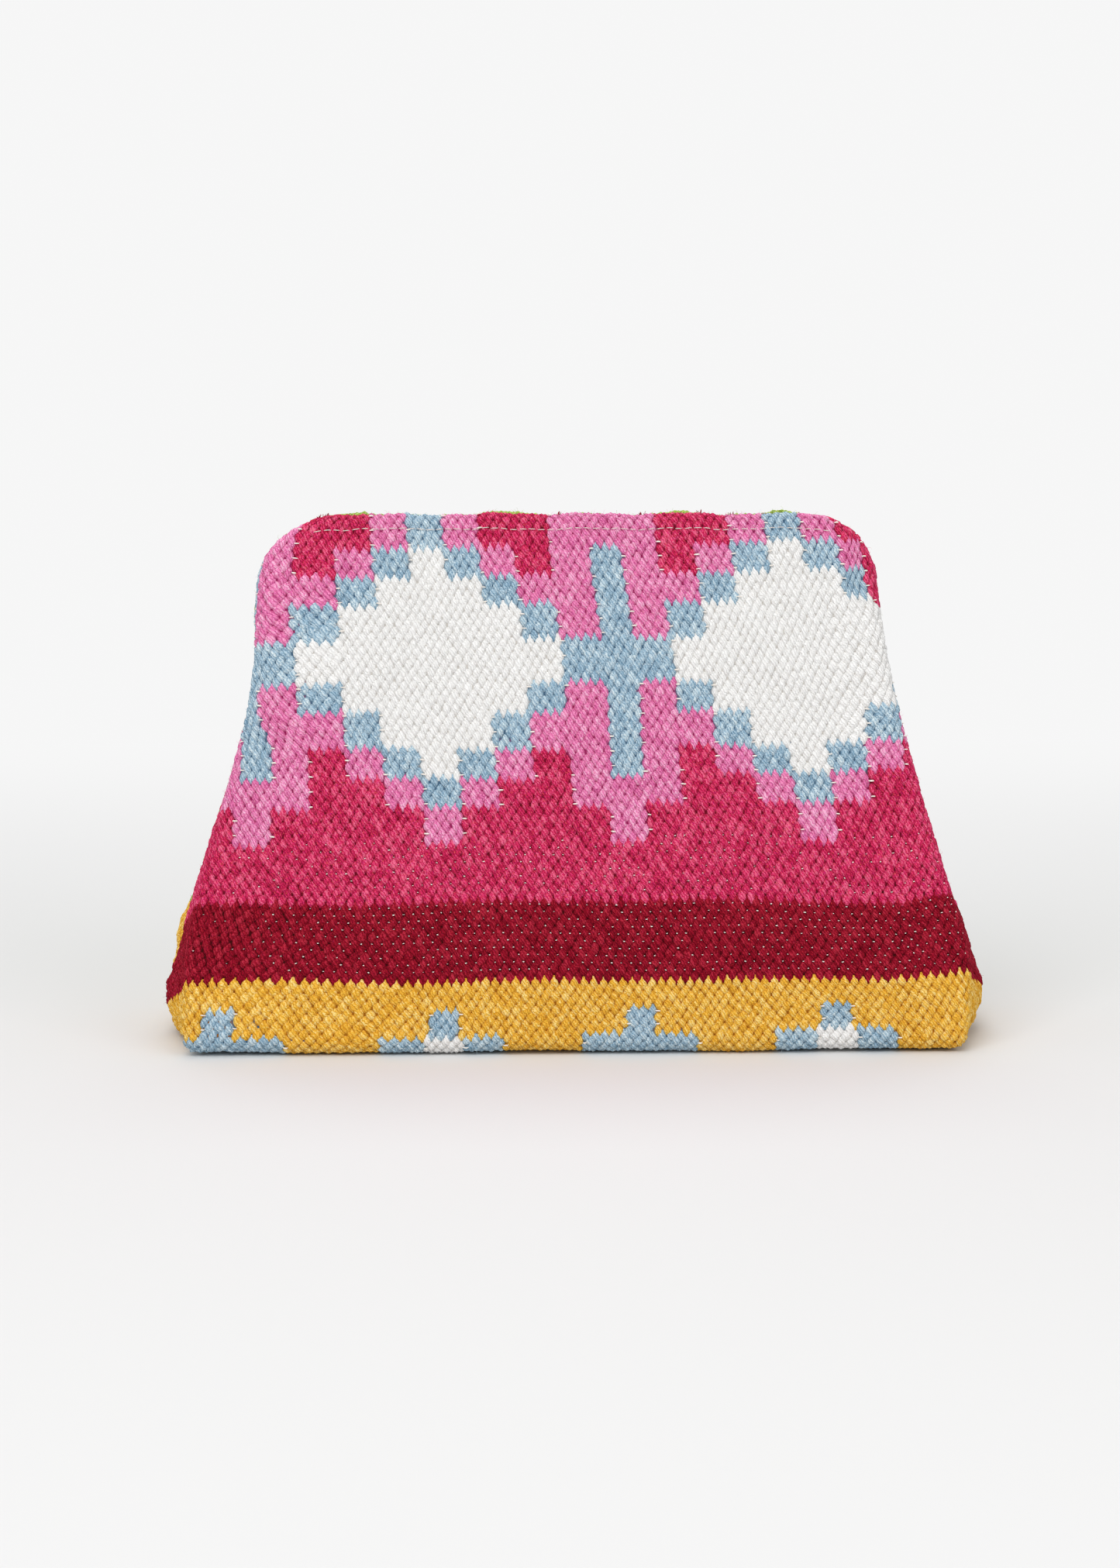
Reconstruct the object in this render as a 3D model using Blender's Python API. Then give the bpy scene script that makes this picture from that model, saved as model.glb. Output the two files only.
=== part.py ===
# A hand-woven zip-top clutch bag with a boxed base, standing on its base.
# Metres, +Z up, X along the width, the front facing -Y. The origin lies under
# the middle of the base, on the surface that the bag stands on.

import math
import bpy
import bmesh
import numpy as np

# Outline of the bag
HEIGHT = 0.206
TOP_WIDTH = 0.2356          # between the side folds, where the top corners begin
CORNER_RADIUS = 0.028       # top corners, seen from the front
SHOULDER_SLOPE = 0.13       # how fast each side widens just below the corner
LOWER_WIDTH = 0.2930        # between the side folds, at LOWER_HEIGHT, before the tuck
LOWER_HEIGHT = 0.0575
SIDE_SLOPE = 0.300          # how fast each side widens towards the base
WAIST_SOFTNESS = 0.003      # rounds the bend between the two slopes
CORNER_TUCK = 0.0145        # how far the base corners are pulled in
BASE_DEPTH = 0.088          # front to back, along the base
RIM_DEPTH = 0.022           # front to back, along the top edge
BASE_ROUNDING = 0.007       # the soft fold between the walls and the base
FOLD_ROUNDING = 0.0075      # the soft fold between the front and the sides
ROUNDING_SHARE = 0.8        # the most of the half depth that the fold may take
BELLY = 0.003               # how far the front swells at the middle

# Sides: how far the seam stands out from the folds beside it, by height
SEAM_SWELL = ((0.007, 0.0088), (0.012, 0.0103), (0.019, 0.0099), (0.0265, 0.0071), (0.034, 0.0050),
              (0.0415, 0.0037), (0.056, 0.0025), (0.078, 0.0019), (0.100, 0.0006), (0.125, -0.0005),
              (0.140, 0.0), (0.152, 0.0004), (0.166, 0.0012), (0.182, 0.0014), (0.195, 0.0009))

# Cloth and lining
CLOTH_THICKNESS = 0.0027
RIDGE_DEPTH = 0.0010
HEM_THICKNESS = 0.0046      # the top edge turned in and pressed
HEM_HEIGHT = 0.018
RIM_ROUNDING = 0.0012
MOUTH_ROUNDING = 0.0025
LINING_THICKNESS = 0.0008
CLEARANCE = 0.0003

# Weave and pattern, measured along the cloth up the front from the base fold
PICK_PITCH = 0.00375        # from one ridge's crest to the groove beside it
PICK_NARROWING = 0.0016     # how much closer the picks lie for each metre up
PATTERN_AXIS = 0.0250       # the middle cross stands right of the bag's middle
PATTERN_LEAN = 0.020        # and leans to the left going up,
PATTERN_CURVE = 0.23        # more so near the top
STEP_PICKS = 4              # width of one step of the pattern
STEP_RISE = 0.0119          # height of one step
MIDDLE_RISE = 0.0172        # height of the pattern's middle row
PATTERN_CENTRE = 0.1564
TOP_STEPS = 4               # the pattern's last step runs on over the top edge
ARM_TOP = 0.0125            # crosses along the base fold
BAR_TOP = 0.023
MUSTARD_TOP = 0.0333
BURGUNDY_TOP = 0.0660
BACK_MUSTARD_TOP = 0.0610
BACK_ARM_STEPS = 0.7        # half the height of the back's cream crosses' arms, in steps
BACK_BAR_STEPS = 1.8        # and of their bars
SIDE_TURN = math.radians(24.5)   # how far the weave turns where it folds round a side

# Zip
CHAIN_DROP = 0.0065         # from the top edge down to the middle of the teeth
TAPE_THICKNESS = 0.0006
CHAIN_WIDTH = 0.0052
CHAIN_BEAD = 0.0006         # the bead that each row of teeth stands on
TOOTH_HEIGHT = 0.0025
TOOTH_LENGTH = 0.0012
TOOTH_PITCH = 0.0030
CLOSED_END_MARGIN = 0.0028  # from the end of the mouth to the top stops
PULL_TIP_ROOM = 0.0006      # left beyond the pull when the slider is at the bottom stop
TOP_STOP_LENGTH = 0.0022
BOTTOM_STOP_LENGTH = 0.0030
STOP_HEIGHT = 0.0032
SLIDER_LENGTH = 0.0100
SLIDER_PLATE = 0.00085
SLIDER_LIP = 0.0007
SLIDER_WEB = 0.0005
SLIDER_CORNER = 0.0012
BRIDGE_WIDTH = 0.0020
BRIDGE_BAR = 0.0006
BRIDGE_POST = 0.0009
BRIDGE_INSIDE_LENGTH = 0.0032
PULL_AXIS_LIFT = 0.00105    # pull's axis above the slider's top plate
PULL_BAR = 0.0010
PULL_LENGTH = 0.0200
PULL_THICKNESS = 0.0010
PULL_EYE_LENGTH = 0.0030
PULL_EYE_WIDTH = 0.0028
PULL_ARM = 0.0012
PULL_TIP_HOLE = 0.0016

# How finely the form is drawn
FLAT_STATIONS = 24          # along a quarter of a level line
TURN_STATIONS = 16
SIDE_STATIONS = 17
RING_STATIONS = (0, 8, 16, 24, 29, 34, 40, 48, 56)
CORNER_LEVELS = (0.25, 0.78, 0.9)   # extra levels up the top corners
LEVEL_GAP = 0.0015          # least height between two levels
RIM_GAP = 0.0010
SEAM_GAP = 0.0015           # least distance from the last pick to the side seam
FARTHEST_PICK = 100
RUN_STEP = 0.0005           # for reading a level line's direction

# Worked out from the sizes above
MOUTH_HALF_DEPTH = RIM_DEPTH / 2 - HEM_THICKNESS
MOUTH_HALF_LENGTH = TOP_WIDTH / 2 - CORNER_RADIUS - HEM_THICKNESS
CHAIN_Z = HEIGHT - CHAIN_DROP
WALL_LEAN = math.atan((BASE_DEPTH - RIM_DEPTH) / 2 / HEIGHT)
FOLD_LENGTH = BASE_ROUNDING * math.pi / 2
SLIDER_HALF_HEIGHT = TOOTH_HEIGHT / 2 + CLEARANCE + SLIDER_PLATE
SLIDER_HALF_WIDTH = CHAIN_WIDTH / 2 + CLEARANCE + SLIDER_LIP
TOP_STOP_X = MOUTH_HALF_LENGTH - CLOSED_END_MARGIN - TOP_STOP_LENGTH
OPEN_SLIDER_X = -MOUTH_HALF_LENGTH + PULL_TIP_ROOM + PULL_LENGTH
BOTTOM_STOP_X = OPEN_SLIDER_X - SLIDER_LENGTH / 2 - CLEARANCE
SLIDER_X = TOP_STOP_X - CLEARANCE - SLIDER_LENGTH / 2
PULL_AXIS_Z = CHAIN_Z + SLIDER_HALF_HEIGHT + PULL_AXIS_LIFT

COLOURS = {
    "cream": (0.86, 0.85, 0.82),
    "blue": (0.24, 0.40, 0.58),
    "pink": (0.72, 0.11, 0.35),
    "crimson": (0.51, 0.017, 0.09),
    "burgundy": (0.26, 0.005, 0.02),
    "mustard": (0.75, 0.38, 0.03),
    "green": (0.35, 0.51, 0.08),
}


def clear_scene():
    for old in list(bpy.data.objects):
        bpy.data.objects.remove(old, do_unlink=True)


def plain_material(name, colour, roughness, metallic=0.0):
    material = bpy.data.materials.new(name)
    material.use_nodes = True
    shader = material.node_tree.nodes["Principled BSDF"]
    shader.inputs["Base Color"].default_value = (*colour, 1.0)
    shader.inputs["Roughness"].default_value = roughness
    shader.inputs["Metallic"].default_value = metallic
    return material


def finish_object(name, mesh_builder, materials):
    mesh = bpy.data.meshes.new(name)
    mesh_builder.to_mesh(mesh)
    mesh_builder.free()
    for material in materials:
        mesh.materials.append(material)
    piece = bpy.data.objects.new(name, mesh)
    bpy.context.collection.objects.link(piece)
    return piece


# The bag's form: level sections that change with height

def softened_max(first, second, softness):
    return 0.5 * (first + second + math.hypot(first - second, softness))


def fold_half_width(z):
    lower = LOWER_WIDTH / 2 + SIDE_SLOPE * (LOWER_HEIGHT - z)
    corner_start = HEIGHT - CORNER_RADIUS
    upper = TOP_WIDTH / 2 + SHOULDER_SLOPE * max(0.0, corner_start - z)
    tuck = CORNER_TUCK * max(0.0, 1 - z / LOWER_HEIGHT) ** 2
    climb = min(max(0.0, z - corner_start), CORNER_RADIUS)
    corner = CORNER_RADIUS - math.sqrt(CORNER_RADIUS ** 2 - climb ** 2)
    return softened_max(lower, upper, WAIST_SOFTNESS) - tuck - corner


def seam_swell(z):
    heights, swells = zip(*SEAM_SWELL, (HEIGHT, 0.0))
    place = float(np.interp(z, heights, np.arange(len(heights))))
    left = min(int(place), len(heights) - 2)
    part = place - left
    ease = part * part * (3 - 2 * part)
    return swells[left] + (swells[left + 1] - swells[left]) * ease


def wall_half_depth(z):
    return (BASE_DEPTH + (RIM_DEPTH - BASE_DEPTH) * z / HEIGHT) / 2


def base_fold_inset(z):
    # how far the soft fold draws the cloth's outer side in, just above the base
    below = max(0.0, BASE_ROUNDING - z)
    return BASE_ROUNDING - math.sqrt(BASE_ROUNDING ** 2 - below ** 2)


class LevelLine:
    # a quarter of a level line: from the middle of the front, round the fold, to the
    # side seam. It is walked by the distance from the front's middle.

    def __init__(self, z, half_depth, fold, seam, rounding, swell=0.0):
        self.z = z
        flat = np.linspace(0, 1, FLAT_STATIONS, endpoint=False) * (fold - rounding)
        turn = np.linspace(-math.pi / 2, 0, TURN_STATIONS, endpoint=False)
        side = np.linspace(0, 1, SIDE_STATIONS)
        ease = side * side * (3 - 2 * side)
        inner_y = rounding - half_depth
        self.x = np.concatenate([
            flat, fold - rounding + rounding * np.cos(turn), fold + (seam - fold) * ease])
        self.y = np.concatenate([
            np.full(len(flat), -half_depth), inner_y + rounding * np.sin(turn), inner_y * (1 - side)])
        self.y -= swell * np.clip(1 - (self.x / fold) ** 2, 0, 1) * np.clip(-self.y / half_depth, 0, 1)
        steps = np.hypot(np.diff(self.x), np.diff(self.y))
        self.length = np.concatenate([[0], np.cumsum(steps)])
        self.reach = self.length[-1]
        self.fold = (self.length[FLAT_STATIONS] + self.length[FLAT_STATIONS + TURN_STATIONS]) / 2

    def point(self, distance, face, depth=0.0):
        # face is -1 on the front and 1 on the back; depth pushes the point inwards
        along = abs(distance)
        x, y = (float(np.interp(along, self.length, line)) for line in (self.x, self.y))
        ends = np.clip([along - RUN_STEP, along + RUN_STEP], 0, self.reach)
        run_x, run_y = (float(np.diff(np.interp(ends, self.length, line))[0]) for line in (self.x, self.y))
        run = math.hypot(run_x, run_y)
        x -= depth * run_y / run
        y += depth * run_x / run
        return (math.copysign(x, distance), -face * y, self.z)


def bag_line(z, inset=0.0, level=None):
    # the bag's level line at height z, moved inwards for its inner sides
    inset += base_fold_inset(z)
    outer_half_depth = wall_half_depth(z)
    on_side = max(z, BASE_ROUNDING)     # the sides hold their shape down round the base fold
    fold = fold_half_width(on_side) - inset
    rounding = min(FOLD_ROUNDING, ROUNDING_SHARE * outer_half_depth) - inset
    swell = BELLY * math.sin(math.pi * min(max(z / HEIGHT, 0.0), 1.0))
    return LevelLine(z if level is None else level, outer_half_depth - inset, fold,
                     fold + seam_swell(on_side), rounding, swell)


def layer_lines(inset):
    # level lines of one inner layer, from the hem down to the floor; layers share a
    # centre at every bend, so they stay parallel
    hem_bottom = HEIGHT - HEM_HEIGHT
    lines = [bag_line(z, inset) for z in np.linspace(hem_bottom, BASE_ROUNDING, 9)]
    radius = BASE_ROUNDING - inset
    for turn in (math.pi / 4, 0.0):
        half_way = bag_line(BASE_ROUNDING, inset + radius * (1 - math.sin(turn)),
                            BASE_ROUNDING - radius * math.cos(turn))
        lines.append(half_way)
    return lines


def mouth_line(z, inset):
    return LevelLine(z, MOUTH_HALF_DEPTH - inset, MOUTH_HALF_LENGTH - inset, MOUTH_HALF_LENGTH - inset,
                     MOUTH_ROUNDING - min(inset, ROUNDING_SHARE * MOUTH_ROUNDING))


# Weave: where each pick lies on the cloth, and the colour of its yarn

def cloth_height(z):
    if z < BASE_ROUNDING:
        return BASE_ROUNDING * math.acos(1 - z / BASE_ROUNDING)
    return FOLD_LENGTH + (z - BASE_ROUNDING) / math.cos(WALL_LEAN)


def level_of(height):
    if height < FOLD_LENGTH:
        return BASE_ROUNDING * (1 - math.cos(height / BASE_ROUNDING))
    return BASE_ROUNDING + (height - FOLD_LENGTH) * math.cos(WALL_LEAN)


def pattern_axis(height):
    return PATTERN_AXIS - PATTERN_LEAN * height - PATTERN_CURVE * height ** 2


def pick_offset(pick, height):
    return pattern_axis(height) + pick * (PICK_PITCH - PICK_NARROWING * height)


def distance_of(offset, section):
    beyond = max(0.0, abs(offset) - section.fold)
    return math.copysign(min(abs(offset), section.fold) + beyond / math.cos(SIDE_TURN), offset)


def cloth_rise(distance, section):
    # the weave turns at the folds, so a level line climbs across the rows there
    return max(0.0, abs(distance) - section.fold) * math.sin(SIDE_TURN)


def from_nearest_cross(pick):
    span = 5 * STEP_PICKS
    return abs((pick + span / 2) % span - span / 2)


def base_colour(pick, height):
    reach = from_nearest_cross(pick)
    if height < ARM_TOP and reach < 1.5 * STEP_PICKS:
        diamond_side = round(pick / (5 * STEP_PICKS)) % 2 == 1
        return "cream" if diamond_side and reach < 0.5 * STEP_PICKS else "blue"
    return "blue" if height < BAR_TOP and reach < 0.5 * STEP_PICKS else "mustard"


def front_colour(pick, height):
    if height < MUSTARD_TOP:
        return base_colour(pick, height)
    if height < BURGUNDY_TOP:
        return "burgundy"
    steps = max(0, math.ceil((abs(height - PATTERN_CENTRE) - MIDDLE_RISE / 2) / STEP_RISE))
    if height > PATTERN_CENTRE:
        steps = min(steps, TOP_STEPS)
    span = 10 * STEP_PICKS
    diamond = abs(pick % span - span / 2)
    cross = span / 2 - diamond
    if steps < 4 and cross < (1.5 if steps == 0 else 0.5) * STEP_PICKS:
        return "blue"
    if steps < 6:
        for colour, reach in (("cream", 3.5), ("blue", 4.5), ("pink", 5.5)):
            if diamond < (reach - steps) * STEP_PICKS:
                return colour
        if cross < (0.5 if steps == 5 else 1.5) * STEP_PICKS:
            return "pink"
    return "crimson"


def back_colour(pick, height):
    if height < BACK_MUSTARD_TOP:
        return base_colour(pick, height)
    steps = abs(height - PATTERN_CENTRE) / STEP_RISE
    reach = from_nearest_cross(pick)
    on_arm = steps < BACK_ARM_STEPS and reach < 1.5 * STEP_PICKS
    if on_arm or steps < BACK_BAR_STEPS and reach < 0.5 * STEP_PICKS:
        return "cream"
    return "green"


def cloth_levels():
    heights = [0.0, FOLD_LENGTH / 2, FOLD_LENGTH, BAR_TOP, MUSTARD_TOP,
               (MUSTARD_TOP + BURGUNDY_TOP) / 2, BURGUNDY_TOP]
    for side in (-1, 1):
        for steps in range(6):
            heights.append(PATTERN_CENTRE + side * (MIDDLE_RISE / 2 + steps * STEP_RISE))
    levels = [level_of(height) for height in heights]
    corner_start = HEIGHT - CORNER_RADIUS
    levels += [corner_start + CORNER_RADIUS * part for part in CORNER_LEVELS]
    rim = HEIGHT - RIM_ROUNDING
    kept = []
    for level in sorted(levels):
        if level < rim - RIM_GAP and (not kept or level - kept[-1] > LEVEL_GAP):
            kept.append(level)
    return kept + [rim]


def weave_row(builder, section, face, seams):
    # a row of points across one face of the cloth, from the left seam to the right
    height = cloth_height(section.z)
    row = [(-section.reach, None, seams[0])]
    for pick in range(-FARTHEST_PICK, FARTHEST_PICK):
        distance = distance_of(pick_offset(pick, height), section)
        if abs(distance) < section.reach - SEAM_GAP:
            depth = RIDGE_DEPTH * (pick % 2)
            row.append((distance, pick, builder.verts.new(section.point(distance, face, depth))))
    return row + [(section.reach, None, seams[1])]


def stitch_rows(builder, lower, upper, on_face):
    # joins two rows of points with faces: four-sided where both rows hold a pick
    low = high = 0
    while low < len(lower) - 1 or high < len(upper) - 1:
        low_next = lower[low + 1] if low < len(lower) - 1 else None
        high_next = upper[high + 1] if high < len(upper) - 1 else None
        matched = low_next and high_next and lower[low][1] == upper[high][1]
        if matched and low_next[1] == high_next[1] and low_next[1] is not None:
            corners = [lower[low], low_next, high_next, upper[high]]
            low += 1
            high += 1
        elif high_next is None or low_next and low_next[0] <= high_next[0]:
            corners = [lower[low], low_next, upper[high]]
            low += 1
        else:
            corners = [lower[low], high_next, upper[high]]
            high += 1
        on_face(builder.faces.new([corner[2] for corner in corners]), corners)


def closed_ring(builder, line):
    # the whole level line, with points only where its shape needs them
    ring = []
    for face, side, order in ((-1, 1, 1), (1, 1, -1), (1, -1, 1), (-1, -1, -1)):
        for station in RING_STATIONS[::order][:-1]:
            point = (side * line.x[station], -face * line.y[station], line.z)
            ring.append(builder.verts.new(point))
    return ring


def bridge_rings(builder, first, second):
    count = len(first)
    return [builder.faces.new([first[i], first[(i + 1) % count], second[(i + 1) % count], second[i]])
            for i in range(count)]


def woven_shell():
    names = list(COLOURS)
    materials = [plain_material(name + "_wool", COLOURS[name], 0.9) for name in names]
    builder = bmesh.new()
    sections = [bag_line(level) for level in cloth_levels()]
    sections.append(bag_line(HEIGHT, RIM_ROUNDING))
    rows = {-1: [], 1: []}
    for section in sections:
        seams = [builder.verts.new(section.point(side * section.reach, -1)) for side in (-1, 1)]
        for face in (-1, 1):
            rows[face].append(weave_row(builder, section, face, seams))
    for face, colour_of in ((-1, front_colour), (1, back_colour)):
        for index in range(len(sections) - 1):
            middle = (sections[index].z + sections[index + 1].z) / 2
            section = sections[index]

            def paint(polygon, corners):
                distance = sum(corner[0] for corner in corners) / len(corners)
                height = cloth_height(middle) + cloth_rise(distance, section)
                picks = [corner[1] for corner in corners if corner[1] is not None]
                outermost = math.copysign(max(map(abs, picks), default=FARTHEST_PICK), distance)
                pick = sum(picks) / len(picks) if len(picks) == len(corners) else outermost
                polygon.material_index = names.index(colour_of(pick, height))

            stitch_rows(builder, rows[face][index], rows[face][index + 1], paint)

    def round_trip(index):
        front = [corner[2] for corner in rows[-1][index]]
        back = [corner[2] for corner in rows[1][index]]
        return front + back[-2:0:-1]

    base = builder.faces.new(round_trip(0))
    base.material_index = names.index("mustard")

    # the inner side: down the hem from the rim, then out to the cloth and down
    lip = closed_ring(builder, mouth_line(HEIGHT, -RIM_ROUNDING))
    hem = [closed_ring(builder, mouth_line(z, 0.0)) for z in (HEIGHT - RIM_ROUNDING, HEIGHT - HEM_HEIGHT)]
    walls = [closed_ring(builder, line) for line in layer_lines(CLOTH_THICKNESS)]
    inner = [lip] + hem + walls
    hidden = names.index("crimson")
    for first, second in zip(inner, inner[1:]):
        for polygon in bridge_rings(builder, first, second):
            polygon.material_index = hidden
    builder.faces.new(walls[-1]).material_index = hidden

    # the rim's flat top, between the outer cloth and the lip
    outer = round_trip(len(sections) - 1)
    edges = [builder.edges.get((ring[i], ring[(i + 1) % len(ring)])) for ring in (outer, lip)
             for i in range(len(ring))]
    bridged = bmesh.ops.triangle_fill(builder, use_beauty=True, use_dissolve=False, edges=edges)
    for polygon in bridged["geom"]:
        if isinstance(polygon, bmesh.types.BMFace):
            polygon.material_index = hidden
    bmesh.ops.recalc_face_normals(builder, faces=builder.faces)
    return finish_object("woven_shell", builder, materials)


def lining():
    builder = bmesh.new()
    gap = CLOTH_THICKNESS + CLEARANCE
    top = CHAIN_Z - SLIDER_HALF_HEIGHT - 3 * CLEARANCE
    neck_gap = CLEARANCE + TAPE_THICKNESS + CLEARANCE
    skins = []
    for thickness in (0.0, LINING_THICKNESS):
        ledge = HEIGHT - HEM_HEIGHT - CLEARANCE - thickness
        lines = [mouth_line(top, neck_gap + thickness), mouth_line(ledge, neck_gap + thickness)]
        body = layer_lines(gap + thickness)
        body[0] = bag_line(HEIGHT - HEM_HEIGHT, gap + thickness, ledge)
        rings = [closed_ring(builder, line) for line in lines + body]
        for first, second in zip(rings, rings[1:]):
            bridge_rings(builder, first, second)
        builder.faces.new(rings[-1])
        skins.append(rings)
    bridge_rings(builder, skins[0][0], skins[1][0])
    bmesh.ops.recalc_face_normals(builder, faces=builder.faces)
    return finish_object("lining", builder, [plain_material("cotton", (0.80, 0.76, 0.68), 0.85)])


# Zip

def prism(builder, outline, direction):
    # a closed outline pushed along a direction
    bottom = builder.faces.new([builder.verts.new(point) for point in outline])
    grown = bmesh.ops.extrude_face_region(builder, geom=[bottom])
    moved = [item for item in grown["geom"] if isinstance(item, bmesh.types.BMVert)]
    bmesh.ops.translate(builder, verts=moved, vec=direction)


def box(builder, low, high):
    (x0, y0, z0), (x1, y1, z1) = low, high
    prism(builder, [(x0, y0, z0), (x1, y0, z0), (x1, y1, z0), (x0, y1, z0)], (0, 0, z1 - z0))


def settle(builder, name, material):
    bmesh.ops.recalc_face_normals(builder, faces=builder.faces)
    return finish_object(name, builder, [material])


def zip_tape(name, face, material):
    builder = bmesh.new()
    wall = face * (MOUTH_HALF_DEPTH - CLEARANCE)
    inner = wall - face * TAPE_THICKNESS
    edge = face * (CHAIN_WIDTH / 2 + CLEARANCE)
    top = CHAIN_Z + TAPE_THICKNESS / 2
    under = top - TAPE_THICKNESS
    end = MOUTH_HALF_LENGTH - MOUTH_ROUNDING
    foot = HEIGHT - HEM_HEIGHT
    outline = [(edge, top), (wall, top), (wall, foot), (inner, foot), (inner, under), (edge, under)]
    prism(builder, [(-end, y, z) for y, z in outline], (2 * end, 0, 0))
    return settle(builder, name, material)


def zip_teeth(name, face, stagger, material):
    # a comb: the teeth stand on the bead along the tape's edge
    near = face * (SLIDER_WEB / 2 + CLEARANCE)
    far = face * CHAIN_WIDTH / 2
    bead = far - face * CHAIN_BEAD
    x = BOTTOM_STOP_X + CLEARANCE + stagger
    start = x
    outline = []
    while x + TOOTH_LENGTH < TOP_STOP_X - CLEARANCE:
        end = x + TOOTH_LENGTH
        outline += [(x, bead), (x, near), (end, near), (end, bead)]
        x += TOOTH_PITCH
    outline = [(start, far)] + outline[1:-1] + [(end, far)]
    builder = bmesh.new()
    prism(builder, [(along, y, CHAIN_Z - TOOTH_HEIGHT / 2) for along, y in outline], (0, 0, TOOTH_HEIGHT))
    return settle(builder, name, material)


def zip_top_stop(name, face, material):
    builder = bmesh.new()
    near = face * (SLIDER_WEB / 2 + CLEARANCE)
    far = face * CHAIN_WIDTH / 2
    box(builder, (TOP_STOP_X, min(near, far), CHAIN_Z - STOP_HEIGHT / 2),
        (TOP_STOP_X + TOP_STOP_LENGTH, max(near, far), CHAIN_Z + STOP_HEIGHT / 2))
    return settle(builder, name, material)


def zip_bottom_stop(material):
    builder = bmesh.new()
    box(builder, (BOTTOM_STOP_X - BOTTOM_STOP_LENGTH, -CHAIN_WIDTH / 2, CHAIN_Z - STOP_HEIGHT / 2),
        (BOTTOM_STOP_X, CHAIN_WIDTH / 2, CHAIN_Z + STOP_HEIGHT / 2))
    return settle(builder, "zip_bottom_stop", material)


def add_boolean(piece, other, operation):
    other.hide_render = True
    other.display_type = "WIRE"
    cut = piece.modifiers.new(operation.title(), "BOOLEAN")
    cut.operation = operation
    cut.object = other


def guide(name, outline, direction):
    builder = bmesh.new()
    prism(builder, outline, direction)
    bmesh.ops.recalc_face_normals(builder, faces=builder.faces)
    return finish_object(name, builder, [])


def zip_slider(material):
    # two plates round the chain, joined by a thin web that runs between the rows
    half = SLIDER_LENGTH / 2
    out, lip = SLIDER_HALF_WIDTH, SLIDER_HALF_WIDTH - SLIDER_LIP
    top, under = SLIDER_HALF_HEIGHT, SLIDER_HALF_HEIGHT - SLIDER_PLATE
    slot = TAPE_THICKNESS / 2 + CLEARANCE
    web = SLIDER_WEB / 2
    right = [(web, under), (lip, under), (lip, slot), (out, slot), (out, top)]
    upper = [(y, z) for y, z in right] + [(-y, z) for y, z in reversed(right)]
    lower = [(y, -z) for y, z in reversed(upper)]
    outline = upper[::-1] + [(y, z) for y, z in lower[::-1]]
    builder = bmesh.new()
    prism(builder, [(-half, y, z) for y, z in outline], (SLIDER_LENGTH, 0, 0))
    slider = settle(builder, "zip_slider", material)
    slider.location = (SLIDER_X, 0, CHAIN_Z)

    corner = SLIDER_CORNER
    plan = [(-half, -out + corner), (-half + corner, -out), (half - corner, -out), (half, -out + corner),
            (half, out - corner), (half - corner, out), (-half + corner, out), (-half, out - corner)]
    trim = guide("slider_plan", [(x, y, -2 * top) for x, y in plan], (0, 0, 4 * top))
    trim.location = slider.location
    add_boolean(slider, trim, "INTERSECT")

    inside = BRIDGE_INSIDE_LENGTH / 2
    outside = inside + BRIDGE_POST
    roof = top + 2 * PULL_AXIS_LIFT
    foot = top - SLIDER_PLATE / 2
    arch = [(-outside, foot), (-inside, foot), (-inside, roof), (inside, roof), (inside, foot),
            (outside, foot), (outside, roof), (outside - BRIDGE_BAR, roof + BRIDGE_BAR),
            (-outside + BRIDGE_BAR, roof + BRIDGE_BAR), (-outside, roof)]
    bridge = guide("slider_bridge", [(x, -BRIDGE_WIDTH / 2, z) for x, z in arch], (0, BRIDGE_WIDTH, 0))
    bridge.location = slider.location
    add_boolean(slider, bridge, "UNION")
    return slider


def zip_pull_tab(material):
    # a flat pull whose end bar turns under the slider's bridge; it lies back along the zip
    half_eye = PULL_EYE_WIDTH / 2
    half_width = half_eye + PULL_ARM
    bar = PULL_BAR / 2
    nose = [(-PULL_LENGTH + half_width + half_width * math.cos(turn), half_width * math.sin(turn))
            for turn in np.linspace(math.pi / 2, 3 * math.pi / 2, 13)]
    outline = [(bar, half_width)] + nose + [(bar, -half_width)]
    builder = bmesh.new()
    prism(builder, [(x, y, -PULL_THICKNESS / 2) for x, y in outline], (0, 0, PULL_THICKNESS))
    pull = settle(builder, "zip_pull_tab", material)
    pull.location = (SLIDER_X, 0, PULL_AXIS_Z)
    eye = [(-bar, -half_eye), (-bar, half_eye), (-bar - PULL_EYE_LENGTH, half_eye),
           (-bar - PULL_EYE_LENGTH, -half_eye)]
    hole_x = -PULL_LENGTH + half_width
    tip = [(hole_x + PULL_TIP_HOLE * math.cos(turn), PULL_TIP_HOLE * math.sin(turn))
           for turn in np.linspace(0, 2 * math.pi, 16, endpoint=False)]
    for name, shape in (("pull_eye", eye), ("pull_tip_hole", tip)):
        cutter = guide(name, [(x, y, -PULL_THICKNESS) for x, y in shape], (0, 0, 2 * PULL_THICKNESS))
        cutter.location = pull.location
        add_boolean(pull, cutter, "DIFFERENCE")
    return pull


def smooth_round(piece, angle=35):
    piece.data.shade_smooth()
    piece.data.set_sharp_from_angle(angle=math.radians(angle))


def build():
    clear_scene()
    smooth_round(woven_shell(), 25)
    smooth_round(lining())
    tape = plain_material("zip_tape", (0.32, 0.03, 0.07), 0.85)
    brass = plain_material("brass", (0.72, 0.52, 0.25), 0.35, 1.0)
    for name, face, stagger in (("front", -1, 0.0), ("back", 1, TOOTH_PITCH / 2)):
        zip_tape("zip_tape_" + name, face, tape)
        zip_teeth("zip_teeth_" + name, face, stagger, brass)
        zip_top_stop("zip_top_stop_" + name, face, brass)
    zip_bottom_stop(brass)
    zip_slider(brass)
    smooth_round(zip_pull_tab(brass))


build()
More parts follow.
